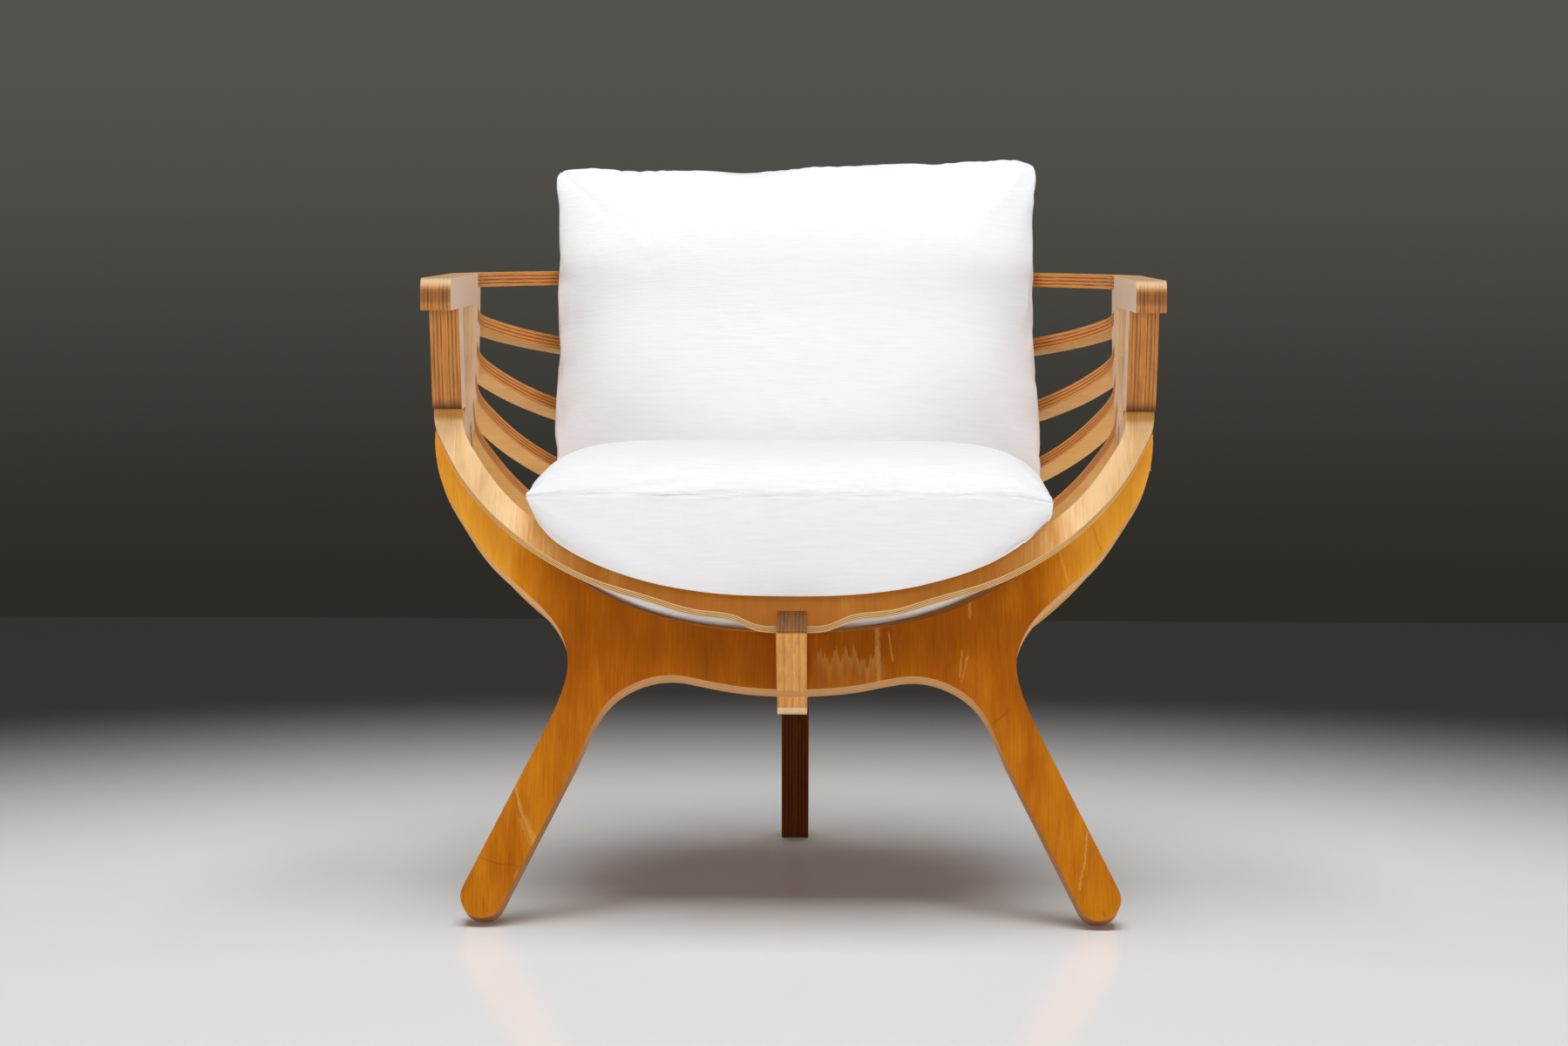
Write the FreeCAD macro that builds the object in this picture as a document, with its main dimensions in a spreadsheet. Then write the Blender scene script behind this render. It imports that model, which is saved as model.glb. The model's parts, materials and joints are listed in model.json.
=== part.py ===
import FreeCAD, Part
import math
import os

# Lounge chair: a shell of bent-outline plywood hoops that fan out from two side
# frames, slotted onto one central spine, with a loose seat and a loose back cushion.
# X is across the chair, Y runs to the back, Z is up. The numbers of the sheet are
# millimetres and degrees, with Y counted from the line where the front feet stand.

doc = FreeCAD.newDocument("lounge_chair")
sheet = doc.addObject("Spreadsheet::Sheet", "sizes")

values = {
    # boards
    "board_thick": 15.0,        # one sheet of plywood
    "outer_half_width": 368.5,  # middle of the chair to the outside of a side frame
    "origin_setback": 310.0,    # front feet line to the origin below the middle
    # fan of hoops
    "pivot_back": 161.0,        # axis where the planes of all hoops meet
    "pivot_height": 628.5,
    "fan_step": 12.4,           # degrees from one hoop to the next
    "hub_radius": 195.0,        # rear edge of the side frames
    "tenon_long": 28.0,         # hoop end held in the side frame
    "hoop_lap": 5.5,            # inner edge starts this far inside the rear edge
    "hoop_depth": 235.0,        # from there to the inner edge on the middle line
    "hoop_end_wide": 14.2,      # width of a hoop where it meets the side frame
    "hoop_wide": 23.3,          # and on the middle line
    "spine_notch": 7.8,         # depth of the notch for the spine
    # side frames
    "arm_front": 38.0,
    "arm_deep": 32.0,
    "arm_nose_round": 13.0,
    "arm_under_round": 5.0,
    "post_top_front": 119.0,
    "post_foot_front": 149.0,
    "post_foot_lift": 12.8,     # above the level where the front hoop starts
    "post_deep": 42.0,
    "window_web": 15.0,         # wood between the window and the slots of the hoops
    "window_trim": 21.0,        # the window's rear edge is cut straight
    "window_corner": 28.0,
    "hub_tail_angle": 4.6,      # rear edge below the lowest hoop
    # front legs
    "legs_lean": 21.5,
    "foot_trim": 1.0,           # worn flat under each foot
    "foot_inset": 64.8,         # outside of a side frame to the middle of a foot
    "leg_wide": 43.0,
    "leg_splay": 25.7,
    "leg_straight": 150.0,
    "waist_inset": 143.5,
    "waist_rise": 258.0,
    "horn_drop": 134.2,         # level of the cradle's ends below the pivot
    "horn_trim": 14.5,          # horns are cut off below that level
    "cradle_hang": 229.0,       # the same level to the cradle's top edge on the middle line
    "cradle_deep": 59.2,        # height of the board on the middle line
    "arch_inset": 247.5,
    "arch_lift": 14.2,          # top of each arch above the board's lower edge
    # front hoop of the seat
    "rim_lean": 33.0,
    "rim_front": 157.6,
    "rim_drop": 140.3,          # start of the front hoop below the pivot
    "rim_depth": 198.0,
    "rim_start": 7.0,
    "rim_wide": 23.5,           # width on the middle line, without the cheek
    "rim_end_lift": 6.2,
    "rim_cheek_half": 33.0,
    "rim_cheek_drop": 18.5,
    # spine and rear leg
    "spine_inset": 5.5,         # spine edge behind the inner edges of the hoops
    "spine_web": 47.0,          # from the notches of the hoops to the rear edge
    "spine_bend_angle": 34.0,
    "spine_tail_angle": 3.6,    # front edge below the lowest hoop
    "spine_sole_web": 24.7,     # lower edge below the notch of the lowest hoop
    "nose_front": -22.0,
    "nose_fall": 14.0,          # tip of the nose below the front hoop
    "nose_round": 3.0,
    "nose_foot_front": 46.0,
    "stub_back": 103.0,
    "stub_lift": 15.0,
    "rear_leg_inset": 34.7,     # rear edge of the leg in front of the end of the bow
    "rear_leg_deep": 64.0,
    "rear_foot_inset": 26.0,
    "rear_foot_long": 48.0,
    "foot_edge_round": 8.0,
    "lap_gap": 0.1,
    "rim_lap": 14.0,
    "legs_lap": 29.5,
    # cushions
    "seat_side_gap": 76.5,      # side seam to the inside of a side frame
    "seat_overhang": 23.6,      # front seam in front of the front hoop
    "seat_front_lift": 38.9,    # front seam above the hoop at the cushion's corners
    "seat_rear": 445.0,
    "seat_rear_round": 90.0,    # how far the rear corners are drawn in
    "seat_rear_lift": 3.0,     # rear seam above the hoops at those corners
    "seat_crest_back": 190.0,
    "seat_crown": 32.0,
    "seat_clear": 3.7,          # underside above the edges it hangs over
    "back_side_gap": 72.5,
    "back_foot_inset": 57.0,    # lower seam in front of the seat cushion's rear seam
    "back_foot_clear": 0.9,     # lower seam above the seat cushion
    "back_lean_clear": 0.5,     # side seams in front of the top hoop
    "back_long": 376.2,         # lower seam to upper seam
    "back_front_crown": 50.0,
    "back_rear_crown": 84.0,
    "seam_edge": 4.0,
    "cover_share": 0.985,       # cavity of a cover against its outside
    "filling_share": 0.982,
}

for row, (word, number) in enumerate(values.items(), start=1):
    sheet.set("A%d" % row, word)
    sheet.set("B%d" % row, repr(number))
    sheet.setAlias("B%d" % row, word)
doc.recompute()


class Sizes:
    """Reads one driving dimension back from the sheet."""

    def __getattr__(self, word):
        return float(getattr(sheet, word))


size = Sizes()
thick = size.board_thick
pair = 2.0 * thick
outerX = size.outer_half_width
innerX = outerX - pair
gap = size.lap_gap
pivotY = size.pivot_back
pivotZ = size.pivot_height
hoopCount = 7


def cosd(angle):
    return math.cos(math.radians(angle))


def sind(angle):
    return math.sin(math.radians(angle))


def flat(x, y):
    return FreeCAD.Vector(x, y, 0)


def line(first, last):
    return Part.LineSegment(flat(*first), flat(*last))


def arc(first, middle, last):
    return Part.Arc(flat(*first), flat(*middle), flat(*last))


def eased(near, far, direction):
    """A helper point a little way from an end, so that the curve leaves it in a direction."""
    step = 0.13 * math.hypot(far[0] - near[0], far[1] - near[1]) / math.hypot(*direction)
    return (near[0] + direction[0] * step, near[1] + direction[1] * step)


def spline(points, startDirection, endDirection):
    backward = (-endDirection[0], -endDirection[1])
    inside = [eased(points[0], points[1], startDirection)]
    last = [eased(points[-1], points[-2], backward)]
    path = points[:1] + inside + points[1:-1] + last + points[-1:]
    curve = Part.BSplineCurve()
    curve.interpolate(Points=[flat(*point) for point in path])
    return curve


def mirrored(points):
    return [(-x, y) for x, y in reversed(points)]


def runs(points):
    return [line(first, last) for first, last in zip(points, points[1:])]


def originPlane(body, role):
    for feature in body.Origin.OriginFeatures:
        if feature.Role == role:
            return feature
    raise ValueError(role)


def board(name, outline, length, rotation, base, symmetric=False, backward=False):
    """One board: an outline in its own plane, padded to the sheet's thickness.

    length and base are expressions on the sheet; rotation turns the plane."""
    body = doc.addObject("PartDesign::Body", name)
    sketch = body.newObject("Sketcher::SketchObject", name + "_outline")
    sketch.AttachmentSupport = [(originPlane(body, "XY_Plane"), "")]
    sketch.MapMode = "FlatFace"
    sketch.addGeometry(outline, False)
    doc.recompute()
    pad = body.newObject("PartDesign::Pad", name + "_pad")
    pad.Profile = sketch
    pad.setExpression("Length", length)
    pad.Midplane = symmetric
    pad.Reversed = backward
    body.Tip = pad
    axis, angle = rotation
    body.Placement = FreeCAD.Placement(FreeCAD.Vector(), FreeCAD.Rotation(axis, angle))
    for letter, text in zip("xyz", base):
        body.setExpression("Placement.Base." + letter, text)
    body.Label = name
    doc.recompute()
    return body


alongX = FreeCAD.Vector(1, 0, 0)
sideways = (FreeCAD.Vector(1, 1, 1), 120.0)     # plane of the side frames and spine


def hoopHalf(halfWidth, depth, count=7):
    """Half of a hoop's edge from its end to the middle line, as (x, depth)."""
    points = []
    for step in range(count + 1):
        share = sind(90.0 * step / count)
        x = halfWidth * max(0.0, 1.0 - share ** 1.5) ** 0.4
        points.append((x, depth * share))
    return points


def hoopReach(x, halfWidth, depth):
    """Depth of the same edge at a distance x from the middle."""
    return depth * max(0.0, 1.0 - (abs(x) / halfWidth) ** 2.5) ** (1.0 / 1.5)


def cutAt(points, x):
    """The points of a half edge that lie further out than x."""
    return [point for point in points if point[0] > x + 12.0]


# fan hoops, the top one level with the arms

lapHalf = thick + gap
hubReach = size.hub_radius
hoopStart = hubReach - size.hoop_lap
hoopInner = hoopStart + size.hoop_depth
hoopOuter = hoopInner + size.hoop_wide
outerStart = hoopStart - size.hoop_end_wide
outerDepth = hoopOuter - outerStart
notchReach = hoopOuter - size.spine_notch
lastHoopAngle = size.fan_step * (hoopCount - 1)


def hoopRadius(x):
    """Pivot to the inner edge of a hoop, at a distance x from the middle."""
    return hoopStart + hoopReach(x, innerX, size.hoop_depth)


def fanHoopOutline():
    inner = [(x, hoopStart + y) for x, y in hoopHalf(innerX, size.hoop_depth)]
    outer = [(x, outerStart + y) for x, y in hoopHalf(outerX, outerDepth)]
    rim = (lapHalf, outerStart + hoopReach(lapHalf, outerX, outerDepth))
    outer = cutAt(outer, lapHalf) + [rim]
    tenon = hubReach - size.tenon_long
    edges = [spline(inner[:-1] + mirrored(inner), (0, 1), (0, -1))]
    edges += runs([(-innerX, hoopStart), (-innerX, tenon), (-outerX, tenon)])
    edges.append(line((-outerX, tenon), (-outerX, outerStart)))
    edges.append(spline([(-x, y) for x, y in outer], (0, 1), (1, 0)))
    edges += runs([(-rim[0], rim[1]), (-lapHalf, notchReach), (lapHalf, notchReach), rim])
    edges.append(spline(list(reversed(outer)), (1, 0), (0, -1)))
    edges += runs([(outerX, outerStart), (outerX, tenon)])
    edges += runs([(outerX, tenon), (innerX, tenon), (innerX, hoopStart)])
    return edges


hoopNames = [
    "top_rail_hoop",
    "back_hoop_upper",
    "back_hoop_middle",
    "back_hoop_lower",
    "seat_hoop_rear",
    "seat_hoop_middle",
    "seat_hoop_front",
]
pieces = {}
for number, name in enumerate(hoopNames):
    pieces[name] = board(
        name,
        fanHoopOutline(),
        "sizes.board_thick",
        (alongX, -size.fan_step * number),
        ("0", "sizes.pivot_back - sizes.origin_setback", "sizes.pivot_height"),
        symmetric=True,
    )


# front hoop of the seat: leans back, slotted from below onto the spine

rimSlant = size.rim_lean
rimOuterStart = size.rim_start + size.rim_end_lift
rimOuterDepth = size.rim_depth + size.rim_wide + size.rim_end_lift
rimMiddle = rimOuterStart - rimOuterDepth
rimCheek = rimMiddle - size.rim_cheek_drop
rimSlotTop = rimCheek + size.rim_lap
rimHeight = pivotZ - size.rim_drop
rimTop = size.post_foot_lift / cosd(rimSlant)


def rimOutline():
    inner = [(x, size.rim_start - y) for x, y in hoopHalf(innerX, size.rim_depth)]
    outer = [(x, rimOuterStart - y) for x, y in hoopHalf(outerX, rimOuterDepth, 9)]
    cheekX = size.rim_cheek_half
    outer = [point for point in outer if point[0] > 3.5 * cheekX and point[1] < rimTop]
    shoulder = [
        (cheekX + 61.0, rimMiddle - 0.5),
        (cheekX + 24.0, rimMiddle - 6.5),
        (cheekX + 2.0, rimCheek + 2.0),
    ]
    right = [(outerX, rimOuterStart)] + outer[1:] + shoulder + [(lapHalf, rimCheek)]
    edges = [spline(inner[:-1] + mirrored(inner), (0, -1), (0, 1))]
    edges += runs([(-innerX, size.rim_start), (-innerX, rimTop), (-outerX, rimTop)])
    edges.append(line((-outerX, rimTop), (-outerX, rimOuterStart)))
    edges.append(spline([(-x, y) for x, y in right], (0, -1), (1, 0)))
    edges += runs([(-lapHalf, rimCheek), (-lapHalf, rimSlotTop)])
    edges += runs([(-lapHalf, rimSlotTop), (lapHalf, rimSlotTop), (lapHalf, rimCheek)])
    edges.append(spline(list(reversed(right)), (1, 0), (0, 1)))
    edges += runs([(outerX, rimOuterStart), (outerX, rimTop)])
    edges += runs([(outerX, rimTop), (innerX, rimTop), (innerX, size.rim_start)])
    return edges


pieces["seat_front_hoop"] = board(
    "seat_front_hoop",
    rimOutline(),
    "sizes.board_thick",
    (alongX, 90.0 - rimSlant),
    ("0", "sizes.rim_front - sizes.origin_setback", "sizes.pivot_height - sizes.rim_drop"),
    backward=True,
)


# front legs: two boards glued face to face, leaning back, cut flat under the feet

legSlant = size.legs_lean
legFaceY = -pair * cosd(legSlant)
legFaceZ = pair * sind(legSlant) - size.foot_trim
hornLevel = (pivotZ - size.horn_drop - legFaceZ) / cosd(legSlant)
cradleRise = hornLevel - size.cradle_hang
hornRise = hornLevel - size.horn_trim
bellyRise = cradleRise - size.cradle_deep


def legsOutline():
    radius = size.leg_wide / 2.0
    splay = size.leg_splay
    footX = outerX - size.foot_inset
    along = (-sind(splay), cosd(splay))
    across = (cosd(splay), sind(splay))

    def onLeg(distance, side):
        return (
            footX + along[0] * distance + across[0] * radius * side,
            radius + along[1] * distance + across[1] * radius * side,
        )

    outerFoot = onLeg(0.0, 1)
    outerEnd = onLeg(size.leg_straight, 1)
    innerFoot = onLeg(0.0, -1)
    innerEnd = onLeg(size.leg_straight, -1)
    sole = (footX - along[0] * radius, radius - along[1] * radius)
    waist = (outerX - size.waist_inset, size.waist_rise)
    hornX = outerX - 1.0
    shoulder = (hornX - 57.0, hornRise - 135.0)

    def towardsShoulder(shareX, shareRise):
        return (
            waist[0] + (shoulder[0] - waist[0]) * shareX,
            waist[1] + (shoulder[1] - waist[1]) * shareRise,
        )

    flank = [
        outerEnd,
        (waist[0] + 5.5, waist[1] - 29.5),
        waist,
        towardsShoulder(0.1, 0.292),
        towardsShoulder(0.433, 0.597),
        shoulder,
        (hornX - 29.0, hornRise - 94.0),
        (hornX - 12.5, hornRise - 65.0),
        (hornX - 4.5, hornRise - 40.0),
        (hornX, hornRise),
    ]
    archHalf = outerX - size.arch_inset
    archRise = bellyRise + size.arch_lift
    arch = [
        innerEnd,
        (archHalf + 62.5, archRise - 27.4),
        (archHalf + 31.0, archRise - 6.0),
        (archHalf, archRise),
        (0.67 * archHalf, bellyRise + 0.54 * size.arch_lift),
        (0.413 * archHalf, bellyRise + 0.18 * size.arch_lift),
        (0.0, bellyRise),
    ]
    top = [(x, hornLevel - y) for x, y in hoopHalf(innerX, size.cradle_hang)]
    cut = cradleRise - size.legs_lap
    slotEdge = hornLevel - hoopReach(lapHalf, innerX, size.cradle_hang)
    hornInner = innerX * (1.0 - (size.horn_trim / size.cradle_hang) ** 1.5) ** 0.4
    top = [point for point in cutAt(top, lapHalf) if point[1] < hornRise]
    top = [(hornInner, hornRise)] + top + [(lapHalf, slotEdge)]
    upward = (0, 1)
    archFull = arch[:-1] + mirrored(arch)
    legUp = (along[0], along[1])
    edges = [line(outerFoot, outerEnd), spline(flank, legUp, upward)]
    edges.append(line((hornX, hornRise), (hornInner, hornRise)))
    edges.append(spline(top, (0, -1), (-1, 0)))
    edges += runs([(lapHalf, slotEdge), (lapHalf, cut), (-lapHalf, cut), (-lapHalf, slotEdge)])
    edges.append(spline(mirrored(top), (-1, 0), upward))
    edges.append(line((-hornInner, hornRise), (-hornX, hornRise)))
    edges.append(spline(mirrored(flank), (0, -1), (legUp[0], -legUp[1])))
    edges.append(line((-outerEnd[0], outerEnd[1]), (-outerFoot[0], outerFoot[1])))
    edges.append(arc((-outerFoot[0], outerFoot[1]), (-sole[0], sole[1]), (-innerFoot[0], innerFoot[1])))
    edges.append(line((-innerFoot[0], innerFoot[1]), (-innerEnd[0], innerEnd[1])))
    edges.append(spline(archFull, legUp, (legUp[0], -legUp[1])))
    edges.append(line(innerEnd, innerFoot))
    edges.append(arc(innerFoot, sole, outerFoot))
    return edges


# front legs, continued: each board is housed round the front hoop and trimmed by the floor

def block(name, sizes, base, rotation=None):
    """A plain tool block; its place follows the sheet."""
    box = doc.addObject("Part::Box", name)
    box.Length, box.Width, box.Height = sizes
    if rotation:
        box.Placement = FreeCAD.Placement(FreeCAD.Vector(), FreeCAD.Rotation(*rotation))
    for letter, text in zip("xyz", base):
        box.setExpression("Placement.Base." + letter, text)
    return box


def cut(name, base, tool):
    result = doc.addObject("Part::Cut", name)
    result.Base = base
    result.Tool = tool
    doc.recompute()
    return result


rimHousing = block(
    "rim_housing",
    (4.0 * outerX, 600.0, 200.0 - thick),
    ("-2 * sizes.outer_half_width", "sizes.rim_front - sizes.origin_setback", "sizes.pivot_height - sizes.rim_drop"),
    (alongX, 90.0 - rimSlant),
)
rimHousing.setExpression(
    "Placement.Base.y",
    "sizes.rim_front - sizes.origin_setback + sizes.board_thick * cos(sizes.rim_lean * 1 deg)"
    " - 400 * sin(sizes.rim_lean * 1 deg)",
)
rimHousing.setExpression(
    "Placement.Base.z",
    "sizes.pivot_height - sizes.rim_drop - sizes.board_thick * sin(sizes.rim_lean * 1 deg)"
    " - 400 * cos(sizes.rim_lean * 1 deg)",
)
floorBlock = block(
    "floor_block",
    (4.0 * outerX, 400.0, 50.0),
    ("-2 * sizes.outer_half_width", "-200 - sizes.origin_setback", "-50"),
)
for number, name in enumerate(["front_leg_plate_front", "front_leg_plate_back"]):
    blank = board(
        name + "_blank",
        legsOutline(),
        "sizes.board_thick",
        (alongX, 90.0 - legSlant),
        (
            "0",
            "-sizes.origin_setback - (2 - %d) * sizes.board_thick * cos(sizes.legs_lean * 1 deg)" % number,
            "(2 - %d) * sizes.board_thick * sin(sizes.legs_lean * 1 deg) - sizes.foot_trim" % number,
        ),
        backward=True,
    )
    housed = cut(name + "_housed", blank, rimHousing)
    pieces[name] = cut(name, housed, floorBlock)


# side frames: arm, post and rear hub in one outline with a window

def onPivot(radius, angle):
    return (pivotY + radius * cosd(angle), pivotZ - radius * sind(angle))


def onLegs(rise, depth):
    """Point of the front legs' cross-section: along their slant, behind their front face."""
    return (
        legFaceY + rise * sind(legSlant) + depth * cosd(legSlant),
        legFaceZ + rise * cosd(legSlant) - depth * sind(legSlant),
    )


def onRim(rise, depth):
    """Point of the front hoop's cross-section."""
    return (
        size.rim_front + rise * sind(rimSlant) + depth * cosd(rimSlant),
        rimHeight + rise * cosd(rimSlant) - depth * sind(rimSlant),
    )


def slotCorners(angle, outward, inward):
    """The four corners of one hoop's slot, starting at its upper mouth."""
    half = thick / 2.0
    mouth = math.sqrt(outward ** 2 - half ** 2)
    corners = []
    for reach, side in [(mouth, -1), (inward, -1), (inward, 1), (mouth, 1)]:
        y = reach * cosd(angle) - side * half * sind(angle)
        z = reach * sind(angle) + side * half * cosd(angle)
        corners.append((pivotY + y, pivotZ - z))
    return corners


def slottedArc(radius, floorRadius, lastAngle):
    """Arc about the pivot from under the top hoop, with a slot for each lower hoop."""
    half = math.degrees(math.asin(thick / 2.0 / radius))
    edges = []
    start = half
    for number in range(1, hoopCount):
        angle = size.fan_step * number
        corners = slotCorners(angle, radius, floorRadius)
        middle = onPivot(radius, (start + angle - half) / 2.0)
        edges.append(arc(onPivot(radius, start), middle, corners[0]))
        edges += runs(corners)
        start = angle + half
    edges.append(arc(onPivot(radius, start), onPivot(radius, (start + lastAngle) / 2.0), onPivot(radius, lastAngle)))
    return edges


def sideOutline():
    top = pivotZ + thick / 2.0
    under = top - size.arm_deep
    front = size.arm_front
    nose = size.arm_nose_round
    low = size.arm_under_round
    soft = 1.0 - math.sqrt(0.5)
    slotIn = size.hub_radius - size.tenon_long
    rebate = onPivot(size.hub_radius, math.degrees(math.asin(thick / 2.0 / size.hub_radius)))
    edges = [line((front + nose, top), (pivotY + slotIn, top))]
    edges += runs([(pivotY + slotIn, top), (pivotY + slotIn, top - thick), rebate])
    hubEnd = lastHoopAngle + size.hub_tail_angle
    edges += slottedArc(size.hub_radius, slotIn, hubEnd)
    # along the end of the front legs and the back of the front hoop
    hornFront = onLegs(hornRise, 0.0)
    hornBack = onLegs(hornRise, pair)
    rimBack = onRim(0.0, thick)
    slopeLegs = (hornBack[1] - hornFront[1]) / (hornBack[0] - hornFront[0])
    slopeRim = 1.0 / math.tan(math.radians(rimSlant))
    meetY = (rimBack[1] - hornFront[1] + slopeLegs * hornFront[0] - slopeRim * rimBack[0]) / (slopeLegs - slopeRim)
    meet = (meetY, hornFront[1] + slopeLegs * (meetY - hornFront[0]))
    footZ = rimHeight + size.post_foot_lift
    rimAtFoot = (rimBack[0] + (footZ - rimBack[1]) / slopeRim, footZ)
    heel = (hornBack[0] + 5.0, hornBack[1] - 2.0)
    edges += runs([onPivot(size.hub_radius, hubEnd), heel, hornBack, meet, rimAtFoot])
    edges += runs([rimAtFoot, (size.post_foot_front, footZ), (size.post_top_front, under)])
    edges.append(line((size.post_top_front, under), (front + low, under)))
    edges.append(arc((front + low, under), (front + low * soft, under + low * soft), (front, under + low)))
    edges.append(line((front, under + low), (front, top - nose)))
    edges.append(arc((front, top - nose), (front + nose * soft, top - nose * soft), (front + nose, top)))
    return edges + windowOutline(under)


def windowOutline(under):
    """Window: arm above, post in front, hub behind, one rounded corner where they meet."""
    radius = hubReach - size.tenon_long - size.window_web
    back = pivotY + radius - size.window_trim
    corner = size.window_corner
    topFront = (size.post_top_front + size.post_deep, under)
    run = size.post_foot_front - size.post_top_front
    fall = under - rimHeight - size.post_foot_lift
    long = math.hypot(run, fall)
    along = (run / long, -fall / long)
    inward = (fall / long, run / long)
    startY = topFront[0] + inward[0] * corner - pivotY
    startZ = topFront[1] + inward[1] * corner - pivotZ
    halfB = startY * along[0] + startZ * along[1]
    rest = startY ** 2 + startZ ** 2 - (radius - corner) ** 2
    travel = -halfB + math.sqrt(halfB ** 2 - rest)
    centre = (startY + along[0] * travel, startZ + along[1] * travel)
    onPost = (pivotY + centre[0] - inward[0] * corner, pivotZ + centre[1] - inward[1] * corner)
    grow = radius / (radius - corner)
    onHub = (pivotY + centre[0] * grow, pivotZ + centre[1] * grow)
    hubAngle = math.degrees(math.atan2(-centre[1], centre[0]))
    reach = math.hypot(*centre)
    lean = (centre[0] / reach - inward[0], centre[1] / reach - inward[1])
    turn = corner / math.hypot(*lean)
    middle = (pivotY + centre[0] + lean[0] * turn, pivotZ + centre[1] + lean[1] * turn)
    backAngle = math.degrees(math.acos((back - pivotY) / radius))
    backLow = onPivot(radius, backAngle)
    edges = [line(topFront, onPost), arc(onPost, middle, onHub)]
    edges.append(arc(onHub, onPivot(radius, (hubAngle + backAngle) / 2.0), backLow))
    edges += runs([backLow, (back, under), topFront])
    return edges


sideNames = {
    "left_side_outer_board": "-sizes.outer_half_width",
    "left_side_inner_board": "-sizes.outer_half_width + sizes.board_thick",
    "right_side_inner_board": "sizes.outer_half_width - 2 * sizes.board_thick",
    "right_side_outer_board": "sizes.outer_half_width - sizes.board_thick",
}
for name, place in sideNames.items():
    pieces[name] = board(
        name,
        sideOutline(),
        "sizes.board_thick",
        sideways,
        (place, "-sizes.origin_setback", "0"),
    )


# spine: nose in front, slots for every hoop, rear leg; two boards side by side

def spineOutline():
    top = pivotZ + thick / 2.0
    innerR = hoopInner + size.spine_inset
    rearR = notchReach + size.spine_web
    half = thick / 2.0
    ease = 4.0
    topInner = (pivotY + notchReach, top)
    topOuter = (pivotY + math.sqrt(rearR ** 2 - half ** 2), top)
    edges = [line(topInner, (topOuter[0] - ease, top))]
    rearStart = onPivot(rearR, math.degrees(math.asin((ease - half) / rearR)))
    edges.append(line((topOuter[0] - ease, top), rearStart))
    bend = size.spine_bend_angle
    rearEnd = onPivot(rearR, bend)
    edges.append(arc(rearStart, onPivot(rearR, bend / 2.0), rearEnd))
    legBack = rearEnd[0] - size.rear_leg_inset
    footFront = legBack - size.rear_foot_inset
    footBack = footFront + size.rear_foot_long
    soleHeight = onPivot(notchReach, lastHoopAngle)[1] - size.spine_sole_web
    legTop = soleHeight + 40.0
    ease = size.foot_edge_round
    soft = ease * (1.0 - math.sqrt(0.5))
    rearEdge = [
        rearEnd,
        (legBack + 0.288 * size.rear_leg_inset, legTop + 0.543 * (rearEnd[1] - legTop)),
        (legBack, legTop),
        (legBack + 4.0, soleHeight - 60.0),
        (footBack, ease),
    ]
    edges.append(spline(rearEdge, (-sind(bend), -cosd(bend)), (0.12, -1.0)))
    edges.append(arc((footBack, ease), (footBack - soft, soft), (footBack - ease, 0.0)))
    edges.append(line((footBack - ease, 0.0), (footFront + ease, 0.0)))
    edges.append(arc((footFront + ease, 0.0), (footFront + soft, soft), (footFront, ease)))
    crotch = (legBack - size.rear_leg_deep, soleHeight - 25.0)
    soleLong = crotch[0] - 90.0 - size.stub_back
    belly = [
        (footFront, ease),
        (footFront - 19.0, soleHeight - 97.0),
        crotch,
        (crotch[0] - 34.0, soleHeight + 3.0),
        (crotch[0] - 90.0, soleHeight + 10.0),
        (size.stub_back + 0.685 * soleLong, soleHeight - 1.0),
        (size.stub_back + 0.355 * soleLong, soleHeight + 6.0),
        (size.stub_back, soleHeight + size.stub_lift),
    ]
    edges.append(spline(belly, (-0.16, 1.0), (-1.0, 0.1)))
    legsFoot = onLegs(bellyRise, pair)
    stubCorner = (size.stub_back - 10.0, belly[-1][1] + 6.0)
    edges.append(spline([belly[-1], stubCorner, legsFoot], (-1.0, 0.1), (-0.35, 1.0)))
    slotRise = cradleRise - size.legs_lap
    edges += runs([legsFoot, onLegs(slotRise, pair), onLegs(slotRise, 0.0)])
    noseFoot = onLegs(bellyRise, 0.0)
    noseLow = (size.nose_foot_front, noseFoot[1] - 0.5)
    rimFront = onRim(rimSlotTop + 3.0, 0.0)
    noseTop = (size.nose_front, rimFront[1] - size.nose_fall)
    round = size.nose_round
    edges += runs([onLegs(slotRise, 0.0), noseFoot, noseLow, (noseTop[0] + round, noseTop[1] - 1.5 * round)])
    edges.append(
        arc(
            (noseTop[0] + round, noseTop[1] - 1.5 * round),
            (noseTop[0] + 0.6 * round, noseTop[1]),
            (noseTop[0] + 2.0 * round, noseTop[1] + 0.5 * round),
        )
    )
    edges.append(line((noseTop[0] + 2.0 * round, noseTop[1] + 0.5 * round), rimFront))
    rimBack = onRim(rimSlotTop + 5.0, thick)
    edges += runs([rimFront, onRim(rimSlotTop, 0.0), onRim(rimSlotTop, thick), rimBack])
    endAngle = lastHoopAngle + size.spine_tail_angle
    ridgeEnd = onPivot(innerR, endAngle)
    behindLegs = onLegs(cradleRise, pair)
    ridge = [
        rimBack,
        onLegs(cradleRise - 1.5, 0.0),
        (behindLegs[0] + 4.0, behindLegs[1] - 9.0),
        (ridgeEnd[0] - 0.36 * (ridgeEnd[0] - behindLegs[0]), ridgeEnd[1] + 29.0),
        ridgeEnd,
    ]
    edges.append(spline(ridge, (0.8, -0.6), (1.0, -0.35)))
    edges += slottedArc(innerR, notchReach, endAngle)
    innerTop = onPivot(innerR, math.degrees(math.asin(half / innerR)))
    edges += runs([innerTop, (pivotY + notchReach, top - thick), topInner])
    return edges


for name, place in {"spine_left_board": "-sizes.board_thick", "spine_right_board": "0"}.items():
    pieces[name] = board(
        name,
        spineOutline(),
        "sizes.board_thick",
        sideways,
        (place, "-sizes.origin_setback", "0"),
    )


# cushions: lofts from one side seam to the other, every section a lens of arcs

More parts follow.
